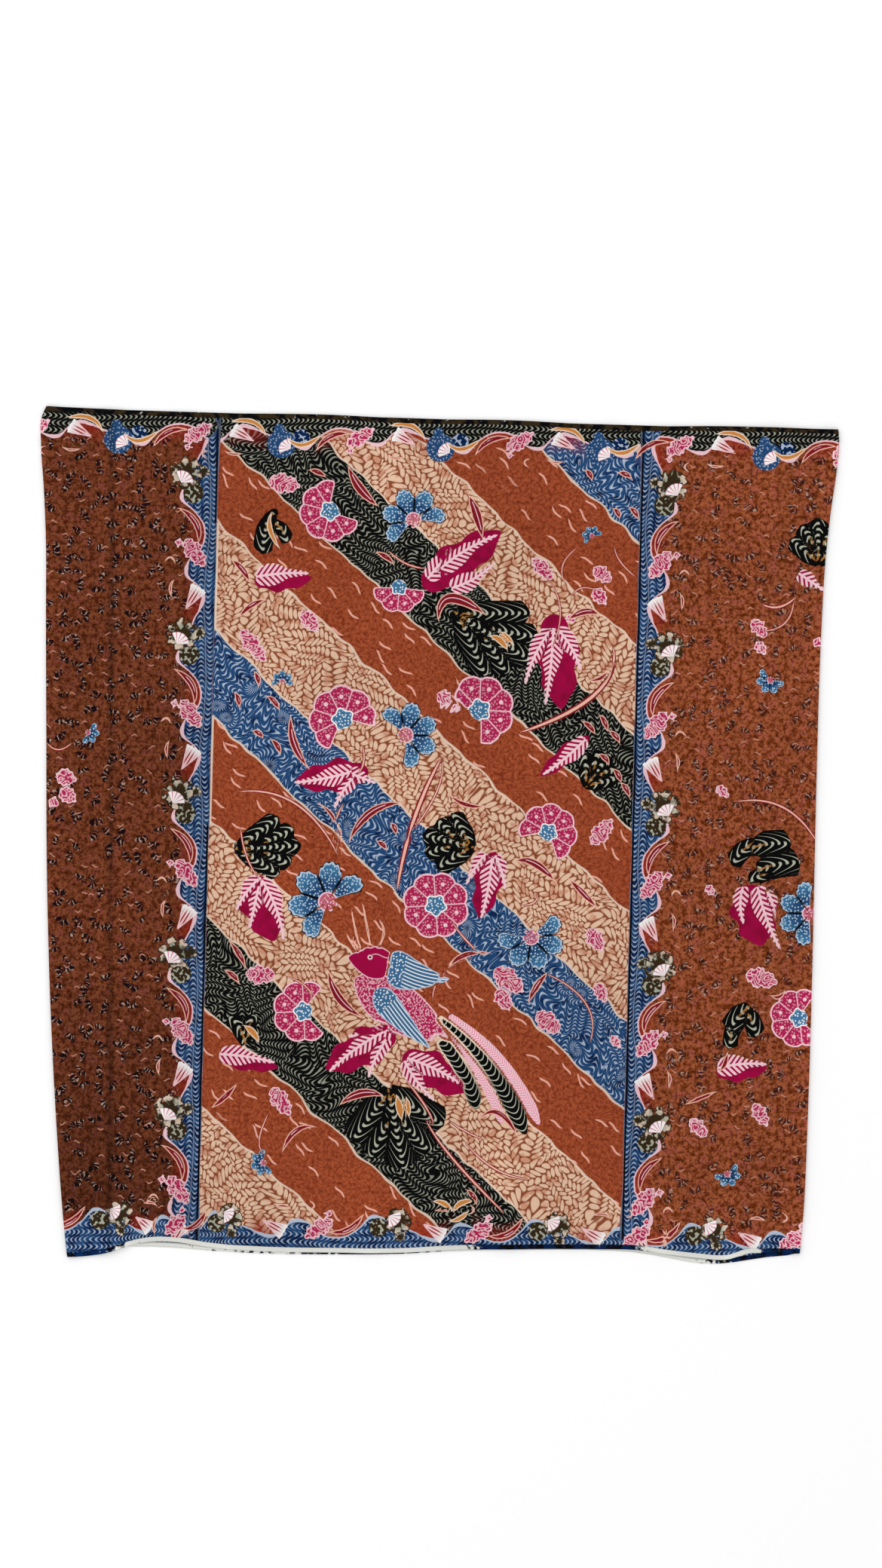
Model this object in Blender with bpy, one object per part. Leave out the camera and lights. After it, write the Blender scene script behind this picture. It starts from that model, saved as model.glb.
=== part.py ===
"""A batik sarong: one length of cotton cloth sewn into a tube and laid flat, front on back.

The tube lies on the XY plane with its waist edge towards +Y and its front face up. X and Z run
from the middle of its bounding box's bottom face. Y does too, but the tables give places along
the cloth as "up_mm", counted from the straight line that the bottom edge keeps to. Lengths
are in metres; the tables are in millimetres, and their column names say so.
"""

from collections import namedtuple

import bpy
import numpy as np

MM = 0.001

# Driving sizes of the cloth.
CLOTH_HEIGHT = 1060 * MM  # loom width: from the bottom edge to the waist edge
WALL = 1.2 * MM  # thickness of one layer
LAYER_GAP = 0.3 * MM  # air between layers, and between pieces that are joined
SELVAGE_WIDTH = 6 * MM  # undyed woven edge along the waist and the bottom

# The side folds, where the tube turns from its front to its back.
FOLD_RADIUS = 1.7 * MM  # radius of the turn, at the middle of the wall
FOLD_SPREAD = 22 * MM  # how far in from the fold the front comes down onto the back
FOLD_LIP = 14 * MM  # how far the front's cloth runs on under itself
FOLD_STEPS = 6  # straight runs round one turn

# The side seam, where the two ends of the cloth meet, lies inside on the back layer.
SEAM_TOP_X = -417.5 * MM
SEAM_BOTTOM_X = -392.5 * MM
SEAM_WIDTH = 12 * MM
SEAM_THICKNESS = 1.0 * MM
SEAM_BEVEL = 0.35 * MM

# How finely the walls are divided.
PANEL_ROWS = 26
FRONT_COLUMNS_LEFT = 5  # between the left fold and the side seam
FRONT_COLUMNS_RIGHT = 29
BACK_COLUMNS_LEFT = 4
BACK_COLUMNS_RIGHT = 24

BACK_MIDDLE_Z = WALL / 2
FRONT_MIDDLE_Z = BACK_MIDDLE_Z + WALL + LAYER_GAP
FOLD_RISE = 2 * FOLD_RADIUS - (FRONT_MIDDLE_Z - BACK_MIDDLE_Z)

# Where the side folds run: the plan X of each fold at some places up the cloth.
SideRow = namedtuple("SideRow", "up_mm left_mm right_mm")
SIDE_ROWS = (
    SideRow(0, -446.0, 483.5),
    SideRow(55, -453.0, 487.0),
    SideRow(160, -463.5, 489.0),
    SideRow(320, -476.0, 490.0),
    SideRow(480, -484.5, 489.5),
    SideRow(640, -489.5, 489.0),
    SideRow(790, -494.0, 490.0),
    SideRow(895, -497.0, 493.5),
    SideRow(955, -501.0, 498.5),
    SideRow(1010, -506.0, 504.8),
    SideRow(1045, -506.0, 506.5),
    SideRow(1060, -500.0, 505.0),
)

# The bottom edge's wander: plan X, then how far the front and the back edge lie above the
# straight hem line, where a negative value hangs below it.
HemRow = namedtuple("HemRow", "x_mm front_mm back_mm")
HEM_ROWS = (
    HemRow(-455, -17.0, -13.0),
    HemRow(-421, -15.0, -9.0),
    HemRow(-397, -10.5, -4.0),
    HemRow(-368, -0.5, -2.0),
    HemRow(-338, 5.5, -1.0),
    HemRow(-303, 5.0, -2.0),
    HemRow(-270, 0.5, -4.0),
    HemRow(-206, -3.0, -6.0),
    HemRow(-110, -2.5, -5.0),
    HemRow(-14, 0.0, -1.5),
    HemRow(34, 4.0, 2.5),
    HemRow(129, 8.0, 6.5),
    HemRow(225, 10.5, 9.0),
    HemRow(282, 10.5, 7.0),
    HemRow(318, 6.0, 1.5),
    HemRow(355, 2.5, -4.0),
    HemRow(388, 1.5, -3.5),
    HemRow(417, 10.0, 1.5),
    HemRow(450, 11.5, 7.0),
    HemRow(490, 12.0, 9.5),
)

# The waist edge's wander, above the straight waist line.
WaistRow = namedtuple("WaistRow", "x_mm front_mm back_mm")
WAIST_ROWS = (
    WaistRow(-510, 2.0, 0.5),
    WaistRow(-300, -1.5, -0.5),
    WaistRow(-150, 0.5, -1.0),
    WaistRow(-30, -2.0, -1.0),
    WaistRow(80, -0.5, -2.0),
    WaistRow(240, -4.0, -2.5),
    WaistRow(360, -1.0, -3.0),
    WaistRow(510, -1.5, -3.0),
)

# Soft folds and pressed creases that lift the front: the plan points where each starts and
# ends, how high it stands and how far it reaches to either side.
Crease = namedtuple("Crease", "start_x_mm start_up_mm end_x_mm end_up_mm height_mm reach_mm")
CREASES = (
    Crease(-520, 344, -215, 337, 1.3, 13),
    Crease(-215, 337, 60, 350, 0.7, 16),
    Crease(-398, -30, -352, 75, 3.2, 24),
    Crease(-352, 75, -335, 200, 1.6, 30),
    Crease(-250, -30, -228, 60, 1.4, 26),
    Crease(-60, -30, -82, 90, 1.5, 30),
    Crease(120, -30, 96, 130, 1.6, 32),
    Crease(300, -30, 322, 90, 1.5, 26),
    Crease(404, -30, 386, 52, 3.2, 18),
    Crease(386, 52, 398, 230, 1.3, 30),
    Crease(-330, 1090, -306, 940, 1.3, 28),
    Crease(-40, 1090, -66, 960, 1.2, 32),
    Crease(210, 1090, 238, 925, 1.5, 30),
    Crease(430, 1090, 405, 880, 1.6, 34),
    Crease(405, 880, 425, 590, 0.9, 36),
    Crease(-300, 780, -120, 590, 0.9, 38),
    Crease(30, 830, 250, 660, 0.8, 40),
    Crease(-180, 470, 110, 240, 0.9, 38),
)

# The bottom line lies so that the tube's box, from its lowest hem to its highest waist, has
# the origin in its middle.
DEEPEST_HEM = min(min(row.front_mm, row.back_mm) for row in HEM_ROWS) * MM
HIGHEST_WAIST = max(max(row.front_mm, row.back_mm) for row in WAIST_ROWS) * MM
BOTTOM_Y = -(CLOTH_HEIGHT + HIGHEST_WAIST + DEEPEST_HEM) / 2
WAIST_Y = BOTTOM_Y + CLOTH_HEIGHT


def smooth_table(x_values, y_values, x):
    """Reads a table at x along a cubic through its rows, flat past both ends."""
    x_values = np.asarray(x_values, float)
    y_values = np.asarray(y_values, float)
    slopes = np.gradient(y_values, x_values)
    x = np.clip(x, x_values[0], x_values[-1])
    row = np.clip(np.searchsorted(x_values, x) - 1, 0, len(x_values) - 2)
    step = x_values[row + 1] - x_values[row]
    t = (x - x_values[row]) / step
    return (
        y_values[row] * (1 + 2 * t) * (1 - t) ** 2
        + y_values[row + 1] * t**2 * (3 - 2 * t)
        + step * slopes[row] * t * (1 - t) ** 2
        - step * slopes[row + 1] * t**2 * (1 - t)
    )


def column(rows, name):
    """One named column of a table as an array."""
    return np.array([getattr(row, name) for row in rows], float)


def fold_x(side, y):
    """Plan X of the left or the right fold at plan position y."""
    up_mm = (y - BOTTOM_Y) / MM
    return smooth_table(column(SIDE_ROWS, "up_mm"), column(SIDE_ROWS, side), up_mm) * MM


def edge_y(layer, end, x):
    """Plan Y of the front's or the back's bottom or waist edge at plan position x."""
    rows, line = (HEM_ROWS, BOTTOM_Y) if end == "bottom" else (WAIST_ROWS, WAIST_Y)
    wander = smooth_table(column(rows, "x_mm"), column(rows, layer + "_mm"), x / MM)
    return line + wander * MM


def seam_x(y):
    """Plan X of the side seam at plan position y."""
    share = (y - BOTTOM_Y) / CLOTH_HEIGHT
    return SEAM_BOTTOM_X + (SEAM_TOP_X - SEAM_BOTTOM_X) * share


def ease(t):
    """1 where t is 0, falling smoothly to 0 where t reaches 1."""
    t = np.clip(t, 0, 1)
    return 1 - t * t * (3 - 2 * t)


def crease_lift(x, y):
    """How far the soft folds and creases lift the front, the tallest winning at each point."""
    lift = np.zeros_like(x)
    for crease in CREASES:
        start = np.array([crease.start_x_mm * MM, BOTTOM_Y + crease.start_up_mm * MM])
        along = np.array([crease.end_x_mm * MM, BOTTOM_Y + crease.end_up_mm * MM]) - start
        share = np.clip(
            ((x - start[0]) * along[0] + (y - start[1]) * along[1]) / (along @ along), 0, 1
        )
        away = np.hypot(x - start[0] - share * along[0], y - start[1] - share * along[1])
        lift = np.maximum(lift, crease.height_mm * MM * ease(away / (crease.reach_mm * MM)))
    return lift


def seam_lift(x, y):
    """The ridge that the side seam underneath presses into the front."""
    plateau = SEAM_WIDTH / 2 + 2 * MM
    slope = 15 * MM
    height = SEAM_THICKNESS + LAYER_GAP
    return height * ease((np.abs(x - seam_x(y)) - plateau) / slope)


def front_middle_z(x, y, left, right):
    """Height of the middle of the front's wall between its two folds."""
    inward = np.minimum(x - left, right - x)
    fold = FOLD_RISE * ease(inward / FOLD_SPREAD)
    relief = np.maximum(crease_lift(x, y), seam_lift(x, y)) * (1 - ease(inward / FOLD_SPREAD))
    return FRONT_MIDDLE_Z + fold + relief


def spread_columns(left, right, y):
    """Plan X of the front's columns at plan position y, with one on the side seam."""
    seam = seam_x(y)
    before = left + (seam - left) * np.linspace(0, 1, FRONT_COLUMNS_LEFT + 1)
    beside = seam + np.array([-1, 1]) * (SEAM_WIDTH / 2 + 2 * MM)
    after = seam + (right - seam) * np.linspace(0, 1, FRONT_COLUMNS_RIGHT + 1)[1:]
    return np.unique(np.concatenate([before, beside, after]))


def front_section(share, low, high):
    """One section of the front across the tube: its middle line and its outward normals.

    The line starts at the left lip's end under the front, turns round the left fold, crosses
    the face and ends under the right lip. share runs from the band's low edge to its high one.
    """
    y_guess = low(0.0) + (high(0.0) - low(0.0)) * share
    inset = FOLD_RADIUS + WALL / 2
    left = fold_x("left_mm", y_guess) + inset
    right = fold_x("right_mm", y_guess) - inset
    turn = np.linspace(-np.pi / 2, -3 * np.pi / 2, FOLD_STEPS + 1)
    across = spread_columns(left, right, y_guess)
    x = np.concatenate([
        [left + FOLD_LIP],
        left + FOLD_RADIUS * np.cos(turn[:-1]),
        across,
        right - FOLD_RADIUS * np.cos(turn[::-1][1:]),
        [right - FOLD_LIP],
    ])
    y = low(x) + (high(x) - low(x)) * share
    face_z = front_middle_z(across, y[FOLD_STEPS + 1 : FOLD_STEPS + 1 + len(across)], left, right)
    turn_z = BACK_MIDDLE_Z + FOLD_RADIUS * (1 + np.sin(turn[:-1]))
    z = np.concatenate([[BACK_MIDDLE_Z], turn_z, face_z, turn_z[::-1], [BACK_MIDDLE_Z]])
    down, up = np.array([0.0, -1.0]), np.array([0.0, 1.0])
    left_normals = np.stack([np.cos(turn[:-1]), np.sin(turn[:-1])], axis=1)
    right_normals = left_normals[::-1] * np.array([-1.0, 1.0])
    normals = np.concatenate([
        [down], left_normals, np.tile(up, (len(across), 1)), right_normals, [down]
    ])
    return np.stack([x, y, z], axis=1), normals


def back_section(share, low, high, spread):
    """One section of the back, flat on the surface, with its columns where spread puts them."""
    y_guess = low(0.0) + (high(0.0) - low(0.0)) * share
    x = spread(y_guess)[::-1]
    y = low(x) + (high(x) - low(x)) * share
    z = np.full_like(x, BACK_MIDDLE_Z)
    return np.stack([x, y, z], axis=1), np.tile([0.0, -1.0], (len(x), 1))


def ring_of(section):
    """A closed ring round one section: the outer side one way and the inner side back."""
    middle, normals = section
    offset = np.stack([normals[:, 0], np.zeros(len(normals)), normals[:, 1]], axis=1) * WALL / 2
    return np.concatenate([middle + offset, (middle - offset)[::-1]])


def loft(rings):
    """Points and faces of the closed body through rings of equal length, capped at both ends."""
    count = len(rings[0])
    half = count // 2
    points = np.concatenate(rings)
    faces = []
    for row in range(len(rings) - 1):
        for i in range(count):
            after = (i + 1) % count
            here, there = row * count, (row + 1) * count
            faces.append((here + i, here + after, there + after, there + i))
    last = (len(rings) - 1) * count
    for i in range(half - 1):
        mirror = count - 1 - i
        faces.append((i, mirror, mirror - 1, i + 1))
        faces.append((last + i + 1, last + mirror - 1, last + mirror, last + i))
    return points, faces


def material(name, colour, roughness):
    """A Principled material of one colour."""
    made = bpy.data.materials.new(name)
    made.use_nodes = True
    shader = made.node_tree.nodes["Principled BSDF"]
    shader.inputs["Base Color"].default_value = (*colour, 1.0)
    shader.inputs["Roughness"].default_value = roughness
    shader.inputs["Metallic"].default_value = 0.0
    return made


def add_object(name, points, faces, finish):
    """Makes one named object from points and faces, with its faces pointing out."""
    mesh = bpy.data.meshes.new(name)
    mesh.from_pydata(points.tolist(), [], faces)
    mesh.materials.append(finish)
    mesh.validate()
    mesh.shade_smooth()
    mesh.set_sharp_from_angle(angle=np.radians(40))
    made = bpy.data.objects.new(name, mesh)
    bpy.context.scene.collection.objects.link(made)
    if signed_volume(points, faces) < 0:
        mesh.flip_normals()
    return made


def signed_volume(points, faces):
    """Volume inside the faces, negative where they point inwards."""
    total = 0.0
    for face in faces:
        first = points[face[0]]
        for i in range(1, len(face) - 1):
            total += first @ np.cross(points[face[i]], points[face[i + 1]]) / 6
    return total


def band(layer, low_offset, high_offset):
    """The lower and the upper edge of a band of one layer, as functions of plan X.

    An offset of 0 or more is measured up from the bottom edge, a negative one down from the
    waist edge.
    """

    def edge(offset):
        end = "bottom" if offset >= 0 else "waist"
        return lambda x: edge_y(layer, end, x) + offset

    return edge(low_offset), edge(high_offset)


# The bands of a layer from bottom to waist: where each starts and ends, and its rows. The
# waist band ends a hair below the line so that its offset still counts from the waist.
Band = namedtuple("Band", "name low high rows finish")
AT_WAIST = -1e-9
BANDS = (
    Band("bottom_selvage", 0.0, SELVAGE_WIDTH, 1, "selvage"),
    Band("panel", SELVAGE_WIDTH + LAYER_GAP, -SELVAGE_WIDTH - LAYER_GAP, PANEL_ROWS, "cloth"),
    Band("waist_selvage", -SELVAGE_WIDTH, AT_WAIST, 1, "selvage"),
)


def front_piece(part, finish):
    """One band of the front, with the side folds and their lips."""
    low, high = band("front", part.low, part.high)
    shares = np.linspace(0, 1, part.rows + 1)
    rings = [ring_of(front_section(share, low, high)) for share in shares]
    return add_object("front_" + part.name, *loft(rings), finish)


def lip_end(side, y):
    """Plan X where the back starts, just past the end of the front's lip."""
    reach = FOLD_RADIUS + WALL / 2 + FOLD_LIP + LAYER_GAP
    return fold_x(side, y) + (reach if side == "left_mm" else -reach)


def columns_left_of_seam(y):
    """Plan X of the back's columns from the left lip to the joint at the side seam."""
    return np.linspace(lip_end("left_mm", y), seam_x(y) - LAYER_GAP / 2, BACK_COLUMNS_LEFT + 1)


def columns_right_of_seam(y):
    """Plan X of the back's columns from the joint at the side seam to the right lip."""
    return np.linspace(seam_x(y) + LAYER_GAP / 2, lip_end("right_mm", y), BACK_COLUMNS_RIGHT + 1)


def columns_across(y):
    """Plan X of the columns of a strip that runs under the whole back."""
    return np.concatenate([columns_left_of_seam(y), columns_right_of_seam(y)])


def back_piece(name, part, spread, finish):
    """One band of the back, flat on the surface."""
    low, high = band("back", part.low, part.high)
    shares = np.linspace(0, 1, part.rows + 1)
    rings = [ring_of(back_section(share, low, high, spread)) for share in shares]
    return add_object(name, *loft(rings), finish)


def back_pieces(part, finish):
    """The back's band: one strip along a selvage, or two panels that meet at the side seam."""
    if part.rows == 1:
        back_piece("back_" + part.name, part, columns_across, finish)
        return
    back_piece("back_panel_left", part, columns_left_of_seam, finish)
    back_piece("back_panel_right", part, columns_right_of_seam, finish)


def side_seam(finish):
    """The felled seam allowance, a flat strip over the joint, on the inside of the back."""
    base = WALL + LAYER_GAP
    half = SEAM_WIDTH / 2
    profile = (
        (-half, base),
        (half, base),
        (half, base + SEAM_THICKNESS - SEAM_BEVEL),
        (half - SEAM_BEVEL, base + SEAM_THICKNESS),
        (-half + SEAM_BEVEL, base + SEAM_THICKNESS),
        (-half, base + SEAM_THICKNESS - SEAM_BEVEL),
    )
    margin = SELVAGE_WIDTH + LAYER_GAP
    rings = []
    for end, offset in (("bottom", margin), ("waist", -margin)):
        y = max if end == "bottom" else min
        near = edge_y("back", end, SEAM_BOTTOM_X if end == "bottom" else SEAM_TOP_X)
        far = edge_y("front", end, SEAM_BOTTOM_X if end == "bottom" else SEAM_TOP_X)
        height = y(near, far) + offset
        rings.append(np.array([(seam_x(height) + dx, height, z) for dx, z in profile]))
    return add_object("side_seam", *loft(rings), finish)


def main():
    """Builds the sarong in an empty scene."""
    for leftover in list(bpy.data.objects):
        bpy.data.objects.remove(leftover)
    finishes = {
        "cloth": material("batik_cotton", (0.28, 0.08, 0.03), 0.85),
        "selvage": material("undyed_selvage", (0.62, 0.58, 0.50), 0.9),
    }
    for part in BANDS:
        front_piece(part, finishes[part.finish])
        back_pieces(part, finishes[part.finish])
    side_seam(finishes["cloth"])


main()
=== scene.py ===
"""Looks of a batik sarong: one length of wax-resist dyed cotton sewn into a tube, laid flat.

The cloth lies on the XY plane with its waist edge towards +Y and its head panel (the field of
slanting bands) facing up. Tables and pattern places are in millimetres, counted as the solids
count them. Two numbers place a point of the cloth itself: how far round the tube it lies, which
is plan X on the front and runs on round both folds, and its plan Y.

The cloth is built as strips of one thin shell. Each strip is a surface of two parameters, round
the tube and up the cloth, on a numpy grid. The pattern is drawn by the materials. What they
need to know about a motif, its distance and its own axes, is worked out with numpy and stored
on the grid's points.
"""

import logging
import math
from collections.abc import Iterable, Sequence
from dataclasses import dataclass, field, replace
from enum import Enum, IntEnum
from typing import NamedTuple, TypeAlias

import bpy
import numpy as np
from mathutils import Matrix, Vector


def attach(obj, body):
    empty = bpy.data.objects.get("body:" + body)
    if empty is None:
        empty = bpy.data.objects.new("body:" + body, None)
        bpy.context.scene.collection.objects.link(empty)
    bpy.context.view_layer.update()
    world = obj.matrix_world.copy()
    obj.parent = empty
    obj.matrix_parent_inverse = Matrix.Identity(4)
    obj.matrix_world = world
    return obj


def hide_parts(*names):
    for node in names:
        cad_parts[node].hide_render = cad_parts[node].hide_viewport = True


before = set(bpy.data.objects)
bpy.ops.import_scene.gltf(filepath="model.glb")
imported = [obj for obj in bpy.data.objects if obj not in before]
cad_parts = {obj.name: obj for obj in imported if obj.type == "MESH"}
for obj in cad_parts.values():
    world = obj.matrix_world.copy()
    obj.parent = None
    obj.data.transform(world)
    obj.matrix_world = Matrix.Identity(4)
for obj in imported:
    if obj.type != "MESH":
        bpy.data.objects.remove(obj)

LOG = logging.getLogger("sarong")
MM = 0.001
FULL_TURN = 2 * math.pi

Grid = np.ndarray
Point = tuple[float, float]
Row = tuple[float, ...]
Socket = bpy.types.NodeSocket


# ---------------------------------------------------------------------------------------------
# Sizes of the cloth, as the solids have them
# ---------------------------------------------------------------------------------------------


@dataclass(frozen=True)
class Table:
    """Rows of a place, ascending, and the values there, read along a smooth curve."""

    rows: tuple[Row, ...]

    def read(self, column: int, x: Grid) -> Grid:
        """Reads one column along a cubic through its rows, flat past both ends.

        Between two rows the value is the cubic that has both rows' values and both rows'
        slopes, each slope being the finite difference of its neighbours.

        Args:
            column: which value of the rows.
            x: where to read.

        Returns:
            The column's value at each x.
        """
        table = np.array(self.rows, float)
        places = table[:, 0]
        values = table[:, column]
        slopes = np.gradient(values, places)
        x = np.clip(x, places[0], places[-1])
        row = np.clip(np.searchsorted(places, x) - 1, 0, len(places) - 2)
        step = places[row + 1] - places[row]
        t = (x - places[row]) / step
        return (
            values[row] * (1 + 2 * t) * (1 - t) ** 2
            + values[row + 1] * t**2 * (3 - 2 * t)
            + step * slopes[row] * t * (1 - t) ** 2
            - step * slopes[row + 1] * t**2 * (1 - t)
        )


class Side(Enum):
    """The two side folds of the laid tube, by their column in their table."""

    LEFT = 1
    RIGHT = 2


class Layer(Enum):
    """The two layers of the laid tube, by their column in the tables of edges."""

    FRONT = 1
    BACK = 2


class Crease(NamedTuple):
    """A soft fold or pressed crease: its two ends, its height and its reach to either side."""

    start_x: float
    start_up: float
    end_x: float
    end_up: float
    height: float
    reach: float


# How far up the cloth, and plan X of the left and the right fold there.
SIDES = Table((
    (0, -446.0, 483.5), (55, -453.0, 487.0), (160, -463.5, 489.0), (320, -476.0, 490.0),
    (480, -484.5, 489.5), (640, -489.5, 489.0), (790, -494.0, 490.0), (895, -497.0, 493.5),
    (955, -501.0, 498.5), (1010, -506.0, 504.8), (1045, -506.0, 506.5), (1060, -500.0, 505.0),
))  # fmt: skip

# Plan X, and how far the front's and the back's edge lie above their straight line there.
HEM = Table((
    (-455, -17.0, -13.0), (-421, -15.0, -9.0), (-397, -10.5, -4.0), (-368, -0.5, -2.0),
    (-338, 5.5, -1.0), (-303, 5.0, -2.0), (-270, 0.5, -4.0), (-206, -3.0, -6.0),
    (-110, -2.5, -5.0), (-14, 0.0, -1.5), (34, 4.0, 2.5), (129, 8.0, 6.5), (225, 10.5, 9.0),
    (282, 10.5, 7.0), (318, 6.0, 1.5), (355, 2.5, -4.0), (388, 1.5, -3.5), (417, 10.0, 1.5),
    (450, 11.5, 7.0), (490, 12.0, 9.5),
))  # fmt: skip
WAIST = Table((
    (-510, 2.0, 0.5), (-300, -1.5, -0.5), (-150, 0.5, -1.0), (-30, -2.0, -1.0),
    (80, -0.5, -2.0), (240, -4.0, -2.5), (360, -1.0, -3.0), (510, -1.5, -3.0),
))  # fmt: skip

CREASES = tuple(Crease(*row) for row in (
    (-520, 344, -215, 337, 1.3, 13), (-215, 337, 60, 350, 0.7, 16),
    (-398, -30, -352, 75, 3.2, 24), (-352, 75, -335, 200, 1.6, 30),
    (-250, -30, -228, 60, 1.4, 26), (-60, -30, -82, 90, 1.5, 30), (120, -30, 96, 130, 1.6, 32),
    (300, -30, 322, 90, 1.5, 26), (404, -30, 386, 52, 3.2, 18), (386, 52, 398, 230, 1.3, 30),
    (-330, 1090, -306, 940, 1.3, 28), (-40, 1090, -66, 960, 1.2, 32),
    (210, 1090, 238, 925, 1.5, 30), (430, 1090, 405, 880, 1.6, 34),
    (405, 880, 425, 590, 0.9, 36), (-300, 780, -120, 590, 0.9, 38),
    (30, 830, 250, 660, 0.8, 40), (-180, 470, 110, 240, 0.9, 38),
))  # fmt: skip

# Finer slack that only the shell has: shallow ridges, none as high as the creases above.
SLACK_SHARE = 0.6
SLACK = tuple(Crease(*row) for row in (
    (-470, 640, -350, 610, 0.5, 16), (-440, 820, -300, 850, 0.4, 22),
    (-460, 470, -330, 455, 0.4, 18), (-430, 215, -300, 190, 0.6, 20),
    (-250, 905, -190, 740, 0.4, 26), (-90, 700, 40, 520, 0.4, 28), (150, 560, 250, 350, 0.5, 26),
    (-210, 250, -90, 160, 0.5, 24), (60, 250, 230, 180, 0.4, 30), (310, 700, 470, 730, 0.4, 20),
    (300, 420, 470, 380, 0.6, 20), (330, 965, 480, 940, 0.5, 22), (-20, 60, 30, 190, 0.6, 22),
    (200, -30, 190, 60, 0.8, 20), (-150, -30, -160, 45, 0.7, 18), (350, 180, 470, 150, 0.5, 20),
))  # fmt: skip


class Band(Enum):
    """The parts of the cloth from its bottom to its waist."""

    BOTTOM_SELVAGE = "bottom selvage"
    BODY = "body"
    WAIST_SELVAGE = "waist selvage"


class Run(Enum):
    """One stretch of the way round the tube, in the order in which they follow."""

    BACK_LEFT = "from the seam to the left fold, under the front"
    LEFT_TURN = "round the left fold"
    FRONT_LEFT = "from the left fold to the head panel"
    HEAD = "across the head panel"
    FRONT_RIGHT = "from the head panel to the right fold"
    RIGHT_TURN = "round the right fold"
    LIP_RIGHT = "the first stretch under the front, past the right fold"
    BACK_MAIN = "from there to the seam"


def ease(t: Grid) -> Grid:
    """1 where t is 0, falling smoothly to 0 where t reaches 1: 1 - 3t^2 + 2t^3."""
    t = np.clip(t, 0, 1)
    return 1 - t * t * (3 - 2 * t)


class SectionPoints(NamedTuple):
    """Points of one run for every row: the wall's middle, its outward normal, and the way round."""

    x: Grid
    y: Grid
    z: Grid
    normal_x: Grid
    normal_z: Grid
    around: Grid


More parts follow.
